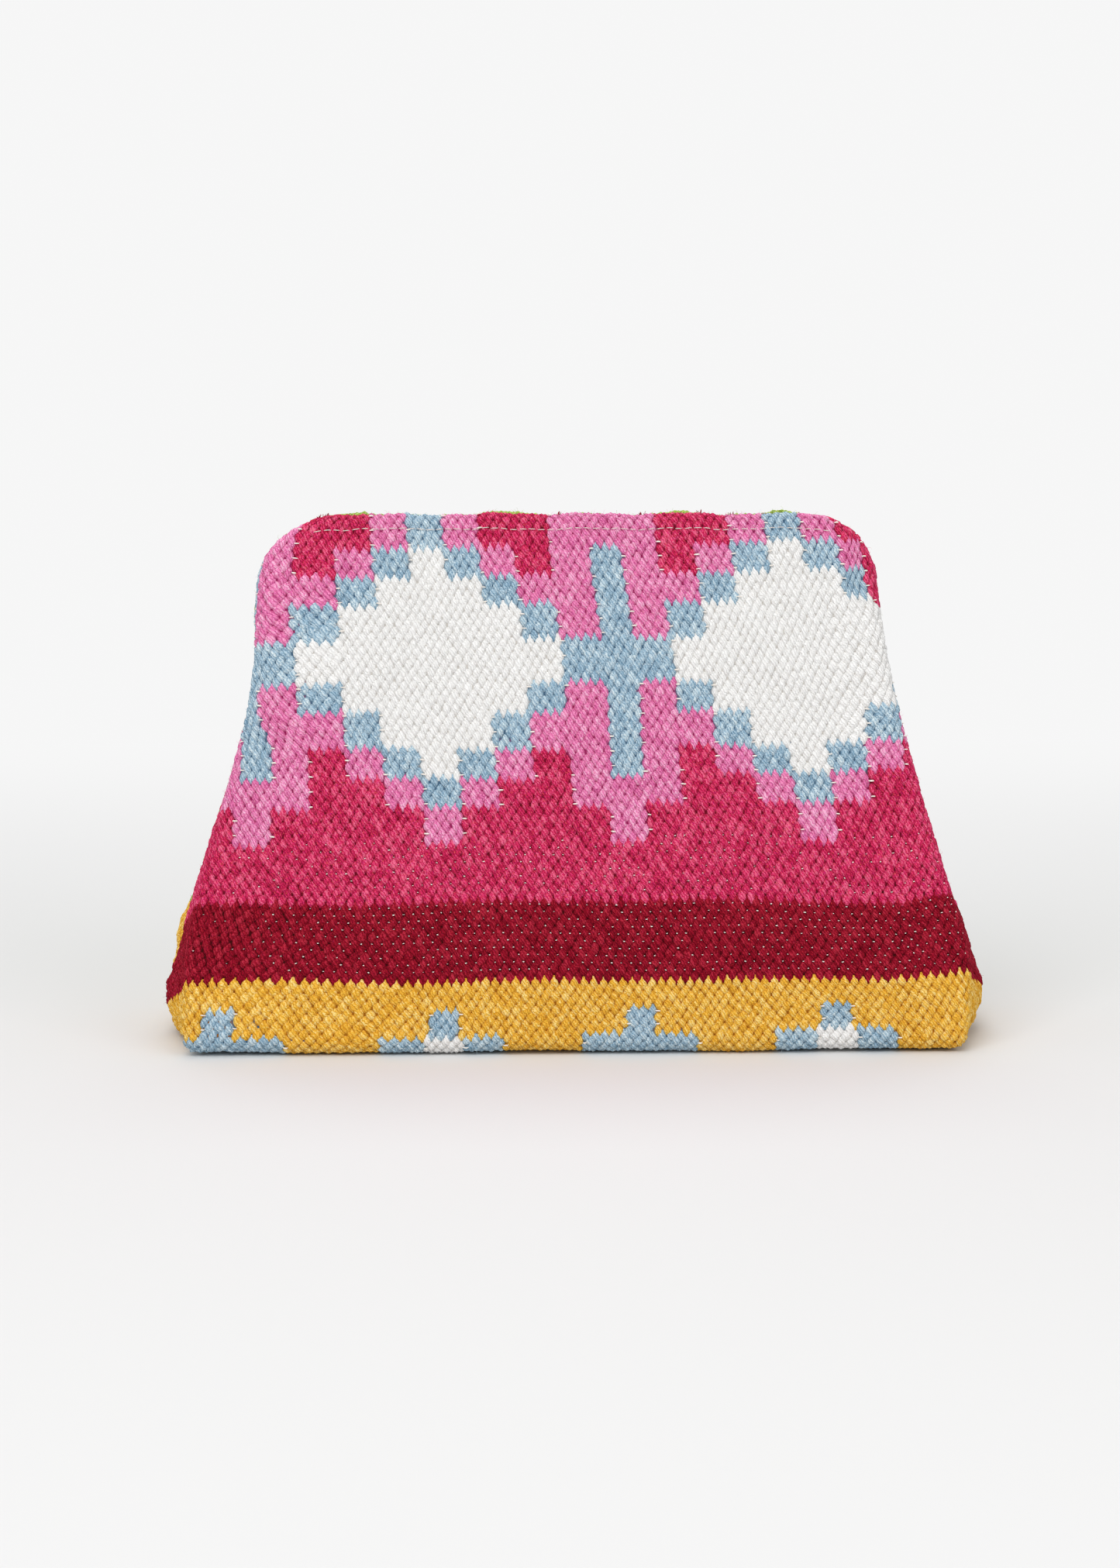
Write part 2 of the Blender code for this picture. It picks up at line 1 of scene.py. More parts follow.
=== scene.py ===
# A hand-woven clutch bag: yarn, ground, stitching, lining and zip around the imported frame.
# Metres, +Z up, the front facing -Y. Each weft's float is modelled as its own small hump.

import math

import bmesh
import bpy
import numpy as np
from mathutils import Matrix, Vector


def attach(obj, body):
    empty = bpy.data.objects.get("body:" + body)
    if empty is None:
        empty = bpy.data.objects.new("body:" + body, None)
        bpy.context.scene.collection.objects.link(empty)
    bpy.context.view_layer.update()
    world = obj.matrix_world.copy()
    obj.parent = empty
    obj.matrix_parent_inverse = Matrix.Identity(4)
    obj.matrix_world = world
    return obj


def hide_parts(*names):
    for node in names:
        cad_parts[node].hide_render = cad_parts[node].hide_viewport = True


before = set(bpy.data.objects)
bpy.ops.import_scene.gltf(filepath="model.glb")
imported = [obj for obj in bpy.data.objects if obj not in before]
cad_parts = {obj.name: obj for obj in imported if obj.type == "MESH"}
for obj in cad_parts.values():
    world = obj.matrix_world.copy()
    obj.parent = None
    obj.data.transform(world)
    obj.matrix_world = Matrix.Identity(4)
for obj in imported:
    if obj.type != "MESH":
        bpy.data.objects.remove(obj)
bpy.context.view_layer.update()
chance = np.random.default_rng(342)
sides = ((-1, "front"), (1, "back"))
print("frame loaded:", len(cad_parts), "nodes")


# Camera and lamps

studio = {
    "target": (-0.0049, 0.0, 0.0986),
    "lampTarget": (0.0, 0.0, 0.1),
    "distance": 1.196,
    "azimuth": -1.4,  # degrees; below 0 is to the left of the front
    "elevation": 9.5,
    "lens": 70.0,
    "sensor": 36.0,  # along the picture's long side
    "floorTone": (0.76, 0.76, 0.757),
    "backdropWhite": 0.925,  # as the camera sees it, away from the bag
    # the floor turns white from one distance to the other, both before and behind its middle
    "whiteMiddle": -0.1, "whiteFrom": 0.12, "whiteTo": 0.85,
    "floorDrop": 0.0002,  # below the bag
    "floorHalfWidth": 7.0, "floorFront": -6.0, "floorBack": 3.0,
    "backdropCurve": 1.5, "backdropTop": 6.0,
    "worldLight": 0.5,
    "lamps": (  # place, size and watts
        ((-0.6, -1.4, 1.8), 1.5, 27.0),
        ((1.1, -1.3, 1.2), 1.1, 6.5),
        ((0.0, 0.6, 1.9), 1.2, 10.5),
    ),
}


def aim(piece, place, target):
    piece.location = place
    piece.rotation_euler = (Vector(target) - Vector(place)).to_track_quat("-Z", "Y").to_euler()


def makeCamera():
    turn, rise = math.radians(studio["azimuth"]), math.radians(studio["elevation"])
    back = Vector((math.sin(turn) * math.cos(rise), -math.cos(turn) * math.cos(rise), math.sin(rise)))
    lens = bpy.data.cameras.new("camera")
    lens.lens = studio["lens"]
    lens.sensor_width = studio["sensor"]
    camera = bpy.data.objects.new("camera", lens)
    bpy.context.scene.collection.objects.link(camera)
    aim(camera, Vector(studio["target"]) + back * studio["distance"], studio["target"])
    bpy.context.scene.camera = camera


def makeLamps():
    for number, (place, size, watts) in enumerate(studio["lamps"]):
        lamp = bpy.data.lights.new("lamp_%d" % number, "AREA")
        lamp.size = size
        lamp.energy = watts
        holder = bpy.data.objects.new(lamp.name, lamp)
        bpy.context.scene.collection.objects.link(holder)
        aim(holder, place, studio["lampTarget"])


# Shader building: number wires with operators, and one method for every other node

class Wire:
    def __init__(self, shader, socket):
        self.shader, self.socket = shader, socket

    def out(self, name):
        return Wire(self.shader, self.socket.node.outputs[name])

    def maths(self, operation, other=0.0, flipped=False):
        inputs = {0: other, 1: self} if flipped else {0: self, 1: other}
        return self.shader.node("Math", {"operation": operation}, inputs)

    def __add__(self, other):
        return self.maths("ADD", other)

    def __sub__(self, other):
        return self.maths("SUBTRACT", other)

    def __rsub__(self, other):
        return self.maths("SUBTRACT", other, flipped=True)

    def __mul__(self, other):
        return self.maths("MULTIPLY", other)

    def __truediv__(self, other):
        return self.maths("DIVIDE", other)

    def __pow__(self, other):
        return self.maths("POWER", other)

    def __abs__(self):
        return self.maths("ABSOLUTE")

    __radd__ = __add__
    __rmul__ = __mul__


class Shader:
    def __init__(self, name, constants):
        self.material = bpy.data.materials.new(name)
        self.material.use_nodes = True
        self.tree = self.material.node_tree
        self.surface = self.tree.nodes["Principled BSDF"]
        for socket, value in constants.items():
            self.feed(self.surface.inputs[socket], value)

    def feed(self, socket, value):
        if isinstance(value, Wire):
            self.tree.links.new(value.socket, socket)
        elif socket.type == "RGBA":
            socket.default_value = (*value[:3], 1.0)
        else:
            socket.default_value = value

    def node(self, kind, settings=None, inputs=None, output=0):
        made = self.tree.nodes.new("ShaderNode" + kind)
        for key, value in (settings or {}).items():
            if key == "stops":
                ramp = made.color_ramp
                while len(ramp.elements) < len(value):
                    ramp.elements.new(1.0)
                for stop, (place, colour) in zip(ramp.elements, value):
                    stop.position, stop.color = place, (*colour, 1.0)
            else:
                setattr(made, key, value)
        for key, value in (inputs or {}).items():
            self.feed(made.inputs[key], value)
        return Wire(self, made.outputs[output])

    def mix(self, factor, first, second):
        return self.node("Mix", {"data_type": "RGBA"}, {0: factor, 6: first, 7: second}, 2)

    def place(self):
        return self.node("TexCoord", output="Object")

    def apart(self, place):
        return self.node("SeparateXYZ", None, {0: place}, "X")

    def together(self, x, y, z=0.0):
        return self.node("CombineXYZ", None, {0: x, 1: y, 2: z})

    def noise(self, place, scale, detail=2.0, roughness=0.5):
        return self.node("TexNoise", None, {"Vector": place, "Scale": scale, "Detail": detail,
                                            "Roughness": roughness})

    def bump(self, height, strength, distance):
        self.feed(self.surface.inputs["Normal"], self.node("Bump", None, {
            "Strength": strength, "Distance": distance, "Height": height}))

    def colour(self, wire):
        self.feed(self.surface.inputs["Base Color"], wire)


# The bag's form, as in its solids: level lines from the middle of the front to the side seam

form = {
    "height": 0.206, "topWidth": 0.2356, "cornerRadius": 0.028, "shoulderSlope": 0.13,
    "lowerWidth": 0.293, "lowerHeight": 0.0575, "sideSlope": 0.3, "waistSoftness": 0.003,
    "cornerTuck": 0.0145, "baseDepth": 0.088, "rimDepth": 0.022, "baseRounding": 0.007,
    "foldRounding": 0.0045, "belly": 0.003, "mouthRounding": 0.0025, "hem": 0.0046,
    "mostRounding": 0.8,  # of half the bag's depth, at a fold
    # how far the side seam stands out from the folds, by height
    "seamSwell": (
        (0.007, 0.0088), (0.012, 0.0103), (0.019, 0.0099), (0.0265, 0.0071), (0.034, 0.005),
        (0.0415, 0.0037), (0.056, 0.0025), (0.078, 0.0019), (0.1, 0.0006), (0.125, -0.0005),
        (0.14, 0.0), (0.152, 0.0004), (0.166, 0.0012), (0.182, 0.0014), (0.195, 0.0009), (0.206, 0.0),
    ),
    "sideTurn": math.radians(24.5),  # the weave turns where it folds round a side
    "halvings": 24,  # steps that find a place of the flat cloth on the bag
    "flatStations": 60, "turnStations": 16, "sideStations": 17,
    "baseLevels": 24, "wallLevels": 200, "rimLevels": 13, "hemLevels": 8,
    "midGap": 0.0006,  # left at the middle of the base, where front and back meet
    "hemInside": 0.015,  # how far the turned-in edge goes down inside
    "leastRounding": 0.0004,
    "backDrop": 0.0019,  # the back's top edge stands a little lower than the front's
    "backDropFrom": 0.15,
    "backPeeps": ((-0.0845, 0.006), (-0.024, 0.008), (0.0415, 0.004), (0.082, 0.006)),
    "peepShare": 0.75,  # how much of the drop a peep takes back
    # how far the left and the right side lean to the right, by height
    "sway": (
        (0.0, 0.0006, 0.0014), (0.018, 0.0006, 0.0018), (0.038, 0.0006, 0.0017), (0.06, 0.0, 0.0),
        (0.13, 0.0, 0.0), (0.15, -0.001, -0.0004), (0.166, -0.0027, -0.0008), (0.178, -0.0032, -0.0008),
        (0.19, -0.0024, -0.0008), (0.198, -0.0006, -0.0006), (0.206, 0.003, 0.0),
    ),
    "swayFrom": 0.07, "swayTo": 0.105,
    # a shallow crease low down behind the front's left fold, and the fold's edge beside it
    "crease": 0.0009, "foldEdge": 0.0018, "creaseAt": -0.0315, "creaseWidth": 0.0035, "edgeAside": 3,
    "creaseTop": 0.06, "creaseFade": 0.02,
    # where the back shows left of the front: height, reach, width
    "backShows": ((0.04, 0.011, 0.0034), (0.162, 0.016, 0.0014)), "backFade": 0.008,
    # hand-woven edges are never quite straight: height, closeness and start of the waves
    "topWave": 0.00035, "topWaves": (170, 0.7), "waveFrom": 0.175,
    "baseWave": 0.0003, "baseWaves": (48, 1.9), "baseWaveTo": 0.014, "baseLift": 0.4,
}
height = form["height"]
wallLean = math.atan((form["baseDepth"] - form["rimDepth"]) / 2 / height)
foldLength = form["baseRounding"] * math.pi / 2
rimRadius = form["hem"] / 2


def eased(share):
    # from 0 to 1 with a soft start and end
    return share * share * (3 - 2 * share)


def between(value, low, high):
    # how far a value is from low to high, held between 0 and 1
    return np.clip((value - low) / (high - low), 0, 1)


def foldHalfWidth(z):
    lower = form["lowerWidth"] / 2 + form["sideSlope"] * (form["lowerHeight"] - z)
    cornerStart = height - form["cornerRadius"]
    upper = form["topWidth"] / 2 + form["shoulderSlope"] * max(0.0, cornerStart - z)
    tuck = form["cornerTuck"] * max(0.0, 1 - z / form["lowerHeight"]) ** 2
    climb = min(max(0.0, z - cornerStart), form["cornerRadius"])
    corner = form["cornerRadius"] - math.sqrt(form["cornerRadius"] ** 2 - climb ** 2)
    joined = 0.5 * (lower + upper + math.hypot(lower - upper, form["waistSoftness"]))
    return joined - tuck - corner


def seamSwell(z):
    heights, swells = zip(*form["seamSwell"])
    place = float(np.interp(z, heights, np.arange(len(heights))))
    left = min(int(place), len(heights) - 2)
    return swells[left] + (swells[left + 1] - swells[left]) * eased(place - left)


def levelLine(z, inset=0.0, level=None, rounding=None):
    # points of a quarter of the level line at height z, moved inwards by inset
    below = max(0.0, form["baseRounding"] - z)
    inset = inset + form["baseRounding"] - math.sqrt(form["baseRounding"] ** 2 - below ** 2)
    outerDepth = (form["baseDepth"] + (form["rimDepth"] - form["baseDepth"]) * z / height) / 2
    halfDepth = outerDepth - inset
    onSide = max(z, form["baseRounding"])
    fold = foldHalfWidth(onSide) - inset
    seam = fold + seamSwell(onSide)
    if rounding is None:
        rounding = min(form["foldRounding"], form["mostRounding"] * outerDepth) - inset
    rounding = min(max(rounding, form["leastRounding"]), halfDepth)
    flat = np.linspace(0, 1, form["flatStations"], endpoint=False) * (fold - rounding)
    turn = np.linspace(-math.pi / 2, 0, form["turnStations"], endpoint=False)
    side = np.linspace(0, 1, form["sideStations"])
    innerY = rounding - halfDepth
    x = np.concatenate([flat, fold - rounding + rounding * np.cos(turn),
                        fold + (seam - fold) * eased(side)])
    y = np.concatenate([np.full(len(flat), -halfDepth), innerY + rounding * np.sin(turn),
                        innerY * (1 - side)])
    swell = form["belly"] * math.sin(math.pi * min(max(z / height, 0.0), 1.0))
    y -= swell * np.clip(1 - (x / fold) ** 2, 0, 1) * np.clip(-y / halfDepth, 0, 1)
    return np.stack([x, y, np.full(len(x), z if level is None else level)], 1)


def levelOf(rise):
    # height above the floor of a place that lies rise up the cloth from the base fold
    if rise < foldLength:
        return form["baseRounding"] * (1 - math.cos(rise / form["baseRounding"]))
    return form["baseRounding"] + (rise - foldLength) * math.cos(wallLean)


def clothLevels():
    # level lines from the middle of the base, up the wall, over the rim and down inside
    reach = form["baseDepth"] / 2 - form["baseRounding"]
    rises, lines = [], []
    for inward in np.linspace(reach - form["midGap"], 0.0, form["baseLevels"], endpoint=False):
        rises.append(-inward)
        lines.append(levelLine(0.0, inward, 0.0))
    wallTop = foldLength + (height - rimRadius - form["baseRounding"]) / math.cos(wallLean)
    for rise in np.linspace(0.0, wallTop, form["wallLevels"]):
        rises.append(rise)
        lines.append(levelLine(levelOf(rise)))
    outerRounding = min(form["foldRounding"], form["mostRounding"] * form["rimDepth"] / 2)
    for turn in np.linspace(0, math.pi, form["rimLevels"])[1:]:
        inset = rimRadius * (1 - math.cos(turn))
        level = height - rimRadius + rimRadius * math.sin(turn)
        share = (1 - math.cos(turn)) / 2
        rounding = (outerRounding - inset) * (1 - share) + form["mouthRounding"] * share
        rises.append(wallTop + rimRadius * turn)
        lines.append(levelLine(level if turn < math.pi / 2 else height, inset, level, rounding))
    for down in np.linspace(0, form["hemInside"], form["hemLevels"])[1:]:
        rises.append(wallTop + rimRadius * math.pi + down)
        lines.append(levelLine(height, form["hem"], height - rimRadius - down,
                               form["mouthRounding"]))
    return np.array(rises), np.array(lines)


rises, levels = clothLevels()
flatEnd = form["flatStations"]
turnEnd = flatEnd + form["turnStations"]
lastStation = turnEnd + form["sideStations"] - 1
lineLengths = np.concatenate([np.zeros((len(levels), 1)), np.cumsum(
    np.linalg.norm(np.diff(levels, axis=1), axis=2), axis=1)], axis=1)
flatLengths, turnLengths, reaches = (lineLengths[:, k] for k in (flatEnd, turnEnd, lastStation))
folds = (flatLengths + turnLengths) / 2
alongLine = np.gradient(levels, axis=1)
alongWall = np.gradient(levels, axis=0)
outward = np.cross(alongLine, alongWall)
outward /= np.maximum(np.linalg.norm(outward, axis=2, keepdims=True), 1e-12)


def settle(across, rise):
    # the level and the distance round the bag of a place on the flat cloth
    width = np.abs(across)
    low, high = np.full(width.shape, rises[0]), np.full(width.shape, rises[-1])
    for _ in range(form["halvings"]):
        middle = (low + high) / 2
        beyond = np.maximum(0.0, width - np.interp(middle, rises, folds))
        over = middle + beyond * math.tan(form["sideTurn"]) > rise
        high, low = np.where(over, middle, high), np.where(over, low, middle)
    level = (low + high) / 2
    fold = np.interp(level, rises, folds)
    distance = np.minimum(width, fold) + np.maximum(0.0, width - fold) / math.cos(form["sideTurn"])
    return level, distance


def stationOf(level, distance):
    flat, turn, reach = (np.interp(level, rises, table)
                         for table in (flatLengths, turnLengths, reaches))
    distance = np.minimum(distance, reach)
    onFlat = distance / flat * flatEnd
    onTurn = flatEnd + (distance - flat) / np.maximum(turn - flat, 1e-9) * (turnEnd - flatEnd)
    onSide = turnEnd + (distance - turn) / np.maximum(reach - turn, 1e-9) * (lastStation - turnEnd)
    return np.where(distance < flat, onFlat, np.where(distance < turn, onTurn, onSide))


def read(table, level, station):
    # a value between the table's four nearest entries
    row = np.interp(level, rises, np.arange(len(rises)))
    low = np.minimum(row.astype(int), len(rises) - 2)
    left = np.minimum(station.astype(int), lastStation - 1)
    up, along = (row - low)[..., None], (station - left)[..., None]
    under = table[low, left] * (1 - along) + table[low, left + 1] * along
    above = table[low + 1, left] * (1 - along) + table[low + 1, left + 1] * along
    return under * (1 - up) + above * up


def waves(x, scale, start):
    return np.sin(x * scale + start) + 0.6 * np.sin(x * scale * 2.3 + 2 * start)


def hill(value, place, width):
    # 1 at its place, and less to both sides
    return np.exp(-((value - place) / width) ** 2)


def relaxed(spots):
    # the sewn bag's own shape: a lower back edge that peeps over in places, waves, leans and a crease
    x, y, z = (spots[..., k] for k in range(3))
    onBack = np.clip(y / form["rimDepth"] + 0.5, 0, 1)
    drop = form["backDrop"] * onBack * eased(between(z, form["backDropFrom"], height))
    for place, width in form["backPeeps"]:
        drop = drop * (1 - form["peepShare"] * hill(x, place, width))
    top = between(z, form["waveFrom"], height)
    base = between(z, form["baseWaveTo"], 0.0)
    spots[..., 2] = (z - drop + form["topWave"] * top * waves(x, *form["topWaves"])
                     + form["baseWave"] * base * (form["baseLift"] + waves(x, *form["baseWaves"])))
    heights, leftShifts, rightShifts = zip(*form["sway"])
    shift = np.where(x < 0, np.interp(z, heights, leftShifts), np.interp(z, heights, rightShifts))
    onLeft = x < 0
    for place, reach, width in form["backShows"]:
        shift = shift - width * onLeft * between(y, 0.0, form["backFade"]) * hill(z, place, reach)
    low = onLeft * between(z, form["creaseTop"], form["creaseTop"] - form["creaseFade"])
    pressed = hill(y, form["creaseAt"], form["creaseWidth"])
    edge = hill(y, form["creaseAt"] - form["edgeAside"] * form["creaseWidth"], form["creaseWidth"])
    shift = shift + low * (form["crease"] * pressed - form["foldEdge"] * edge)
    spots[..., 0] = x + shift * eased(between(np.abs(x), form["swayFrom"], form["swayTo"]))
    return spots


def onCloth(across, rise, face, lift):
    # places in the bag's frame; face is -1 on the front and 1 on the back
    level, distance = settle(across, rise)
    station = stationOf(level, distance)
    spot, out = read(levels, level, station), read(outward, level, station)
    out /= np.maximum(np.linalg.norm(out, axis=-1, keepdims=True), 1e-9)
    spot = spot + out * lift[..., None]
    side = np.where(across < 0, -1.0, 1.0)
    return relaxed(np.stack([spot[..., 0] * side, spot[..., 1] * -face, spot[..., 2]], -1))


def addMesh(name, spots, faces, materials, slots=None, uvs=None, points=None):
    # a piece from arrays: faces has 3 or 4 corners a row, uvs are a pair for each point
    mesh = bpy.data.meshes.new(name)
    mesh.vertices.add(len(spots))
    mesh.vertices.foreach_set("co", np.asarray(spots, np.float32).ravel())
    corners = np.asarray(faces, np.int32)
    mesh.loops.add(corners.size)
    mesh.loops.foreach_set("vertex_index", corners.ravel())
    mesh.polygons.add(len(corners))
    mesh.polygons.foreach_set("loop_start", np.arange(len(corners), dtype=np.int32) * corners.shape[1])
    if slots is not None:
        mesh.polygons.foreach_set("material_index", np.asarray(slots, np.int32))
    mesh.update(calc_edges=True)
    for layer, pairs in (uvs or {}).items():
        made = mesh.uv_layers.new(name=layer, do_init=False)
        made.uv.foreach_set("vector", np.asarray(pairs, np.float32)[corners.ravel()].ravel())
    for label, values in (points or {}).items():
        made = mesh.attributes.new(label, "FLOAT_VECTOR", "POINT")
        made.data.foreach_set("vector", np.asarray(values, np.float32).ravel())
    for material in materials:
        mesh.materials.append(material)
    mesh.shade_smooth()
    piece = bpy.data.objects.new(name, mesh)
    bpy.context.scene.collection.objects.link(piece)
    return piece


def gridFaces(rows, columns, closed=False):
    # four-cornered faces of a grid of points, row after row
    across = np.arange(columns if closed else columns - 1)
    rowStarts = np.arange(rows - 1)[:, None] * columns
    first = (rowStarts + across).ravel()
    second = (rowStarts + (across + 1) % columns).ravel()
    return np.stack([first, second, second + columns, first + columns], 1)


# Weave: the pattern, and where each float lies

weave = {
    # a pick is two wefts, and they lie closer higher up
    "pickPitch": 0.00375, "pickNarrowing": 0.0016, "warpPitch": 0.00276,
    "axis": 0.025, "lean": 0.02, "curve": 0.23,  # the pattern's middle line
    "rowTilt": 0.013,  # rows climb towards the right
    # where the cloth is drawn sideways: across from, to, rise from, to, and how far
    "pulls": (
        (-0.062, -0.124, 0.075, 0.035, -0.0126),
        (-0.09, -0.108, 0.122, 0.138, -0.005),
        (0.1, 0.122, 0.112, 0.135, 0.0036),
        (0.105, 0.117, 0.17, 0.184, -0.0052),
        (-0.086, -0.11, 0.172, 0.2, 0.0044),
        (-0.11, -0.12, 0.158, 0.172, -0.004),
    ),
    # where the rows rise or fall, in the same five numbers
    "climbs": (
        (-0.145, -0.06, 0.012, 0.034, -0.001),
        (0.03, 0.11, 0.012, 0.034, -0.0022),
        (0.12, 0.145, 0.012, 0.034, 0.0024),
    ),
    "climbFadeFrom": 0.105, "climbFadeTo": 0.075,
    "wander": 0.00055,  # how far the lattice strays, in slow waves:
    # size, waves across and up, and start
    "upWaves": ((1, 61, 37, 1.3), (0.7, 23, -71, 0.4)),
    "sideWaves": ((1, 41, -53, 2.1), (0.7, 17, 97, 5.0)),
    "barLeft": -1.6, "barRight": 1.85,  # the crosses' bars, in picks from their middle
    "lastCross": 32,  # past it the base band is plain
    "stepPicks": 4, "stepRise": 0.0119, "middleRise": 0.0172, "patternCentre": 0.1564,
    "topSteps": 4,  # the last step runs on over the top edge
    "edgePick": 29.3, "edgeCream": 0.165, "edgeCrimson": 0.174,  # beside the right seam, high up
    "armTop": 0.0125, "barTop": 0.023, "mustardTop": 0.0333, "burgundyTop": 0.066,
    "backMustardTop": 0.07,
    "mostColumns": 110,  # each way from the pattern's axis
    "seamClear": 0.0006, "edgeClear": 0.001,  # no float's middle is nearer to the cloth's ends
}


def patternAxis(rise):
    return weave["axis"] - weave["lean"] * rise - weave["curve"] * rise * np.abs(rise)


def pickWidth(rise):
    return weave["pickPitch"] - weave["pickNarrowing"] * rise


def clothPlace(column, warp):
    # lattice to cloth: column counts wefts from the pattern's axis, warp counts rows up
    rise = warp * weave["warpPitch"]
    across = patternAxis(rise) + (column + 0.5) / 2 * pickWidth(rise)
    for start, end, calm, full, shift in weave["pulls"]:
        across = across + shift * between(across, start, end) * eased(between(rise, calm, full))
    lift = 0.0
    fade = between(rise, weave["climbFadeFrom"], weave["climbFadeTo"])
    for start, end, calm, full, shift in weave["climbs"]:
        lift = lift + shift * eased(between(across, start, end)) * between(rise, calm, full) * fade
    aside, drift = (sum(size * np.sin(across * right + rise * up + start)
                        for size, right, up, start in weave[key]) for key in ("sideWaves", "upWaves"))
    return (across + weave["wander"] * aside,
            rise + lift + weave["rowTilt"] * across + weave["wander"] * drift)


def fromNearest(pick, span):
    # how far right of the middle of the nearest cross a pick lies, where crosses stand span apart
    return (pick + span / 2) % span - span / 2


def inBar(aside):
    return weave["barLeft"] < aside < weave["barRight"]


def baseColour(pick, rise):
    # the band round the base: crosses on mustard, and under every other one the tip of a diamond
    step = weave["stepPicks"]
    aside = fromNearest(pick, 5 * step)
    if pick > weave["lastCross"]:
        return "mustard"
    if abs(rise) < weave["armTop"] and abs(aside) < 1.5 * step:
        diamondSide = round(pick / (5 * step)) % 2 == 1
        return "cream" if diamondSide and abs(aside) < 0.5 * step else "blue"
    return "blue" if abs(rise) < weave["barTop"] and abs(aside) < -weave["barLeft"] else "mustard"


def frontColour(pick, rise):
    # stepped diamonds between crosses; steps counts from the diamonds' middle row up and down
    step = weave["stepPicks"]
    if rise < weave["mustardTop"]:
        return baseColour(pick, rise)
    if rise < weave["burgundyTop"]:
        return "burgundy"
    past = abs(rise - weave["patternCentre"]) - weave["middleRise"] / 2
    steps = max(0, math.ceil(past / weave["stepRise"]))
    if rise > weave["patternCentre"]:
        steps = min(steps, weave["topSteps"])
    if pick > weave["edgePick"] and rise > weave["edgeCream"]:
        return "crimson" if rise > weave["edgeCrimson"] else "cream"
    aside = fromNearest(pick, 10 * step)
    cross = abs(aside)
    diamond = 5 * step - cross
    if steps < 4 and inBar(aside) or steps == 0 and cross < 1.5 * step:
        return "blue"
    if steps < 6:
        for colour, reach in (("cream", 3.5), ("blue", 4.5), ("pink", 5.5)):
            if diamond < (reach - steps) * step:
                return colour
        if cross < (0.5 if steps == 5 else 1.5) * step:
            return "pink"
    return "crimson"


def backColour(pick, rise):
    # small cream crosses on green
    step = weave["stepPicks"]
    if rise < weave["backMustardTop"]:
        return baseColour(pick, rise)
    steps = abs(rise - weave["patternCentre"]) / weave["stepRise"]
    reach = abs(fromNearest(pick, 5 * step))
    if steps < 0.7 and reach < 1.5 * step or steps < 1.8 and reach < 0.5 * step:
        return "cream"
    return "green"


def patternColour(face, pick, rise):
    return frontColour(pick, rise) if face < 0 else backColour(pick, rise)


yarnForm = {
    "across": (-1.0, -0.72, 0.0, 0.72, 1.0),
    "along": (-1.0, -0.78, -0.3, 0.3, 0.78, 1.0),
    "halfWidth": 1.08,  # in wefts
    "halfLength": 1.02,  # in warps
    "tip": 0.26,  # width of a float's ends, as a share
    "sunk": 0.00205,  # its edges, below the cloth's outer side
    "upright": 0.4,  # how much of a pull sideways its lean leaves out
    "outline": (2.2, 0.6), "hump": (0.55, 0.6),  # how blunt its outline and its height are
    "placeChance": 0.11, "sizeChance": 0.11, "leanChance": 0.15, "bulge": 0.26,
    "heightChance": 0.00026, "heightMiddle": -0.7,
    "turnedShare": 0.8,  # its reach sideways where its weft is the last of its colour
    "tooth": 1.16,  # its reach upwards where its colour ends above or below
    "mapMillimetres": (1.75, 2.7),  # half a float's size on the map of its strands
    "mapSpread": 60,
    "stitchDent": 0.0004, "stitchDentReach": 0.0016,
    "seamDent": 0.0006, "seamDentReach": 0.003,
}

stitchLine = {
    # how far the topstitch runs below the top edge, at places across the front
    "across": (0.0, 0.088, 0.094, 0.0995), "drop": (0.0063, 0.0063, 0.0066, 0.0075),
    "pitch": 0.00355, "length": 0.0029, "radius": 0.00017, "sides": 6, "rings": 9,
    "lift": -0.00028, "endsSunk": 0.0009,
    "lengthChance": 0.1, "pitchChance": 0.05, "riseChance": 0.00015, "tiltChance": (-0.0001, 0.0002),
    "samples": 900,
}
topRise = foldLength + (height - form["baseRounding"]) / math.cos(wallLean)


def stitchDrop(across):
    return np.interp(np.abs(across), stitchLine["across"], stitchLine["drop"])


def dents(across, rise):
    # how far the cloth is pressed in under the topstitch and beside the side seam
    fromStitch = np.abs(topRise - rise - stitchDrop(across))
    underStitch = between(fromStitch, yarnForm["stitchDentReach"], 0.0)
    underStitch *= np.abs(across) < stitchLine["across"][-1]
    level, distance = settle(across, rise)
    fromSeam = np.interp(level, rises, reaches) - distance
    beside = between(fromSeam, yarnForm["seamDentReach"], 0.0)
    return yarnForm["stitchDent"] * underStitch + yarnForm["seamDent"] * beside ** 2


def coloursAt(face, columns, warps):
    return np.array([patternColour(face, (column + 0.5) / 2, warp * weave["warpPitch"])
                     for column, warp in zip(columns, warps)])


def floatCentres(face):
    # every float of one face: its column, warp row and colour, and whether its colour ends beside it
    lowest, highest = (int(rises[k] / weave["warpPitch"]) for k in (0, -1))
    most = weave["mostColumns"]
    columns, warps = np.meshgrid(np.arange(-most, most + 1), np.arange(lowest, highest))
    woven = (columns + warps) % 2 == 0
    columns, warps = columns[woven], warps[woven]
    across, rise = clothPlace(columns.astype(float), warps.astype(float))
    level, distance = settle(across, rise)
    inside = distance < np.interp(level, rises, reaches) - weave["seamClear"]
    inside &= (rise > rises[0] + weave["edgeClear"]) & (rise < rises[-1] - weave["edgeClear"])
    columns, warps = columns[inside], warps[inside]
    names = coloursAt(face, columns, warps)
    ends = np.stack([coloursAt(face, columns + c, warps + w) != names
                     for c, w in ((-1, 0), (1, 0), (0, -1), (0, 1))], 1)
    return columns, warps, names, ends


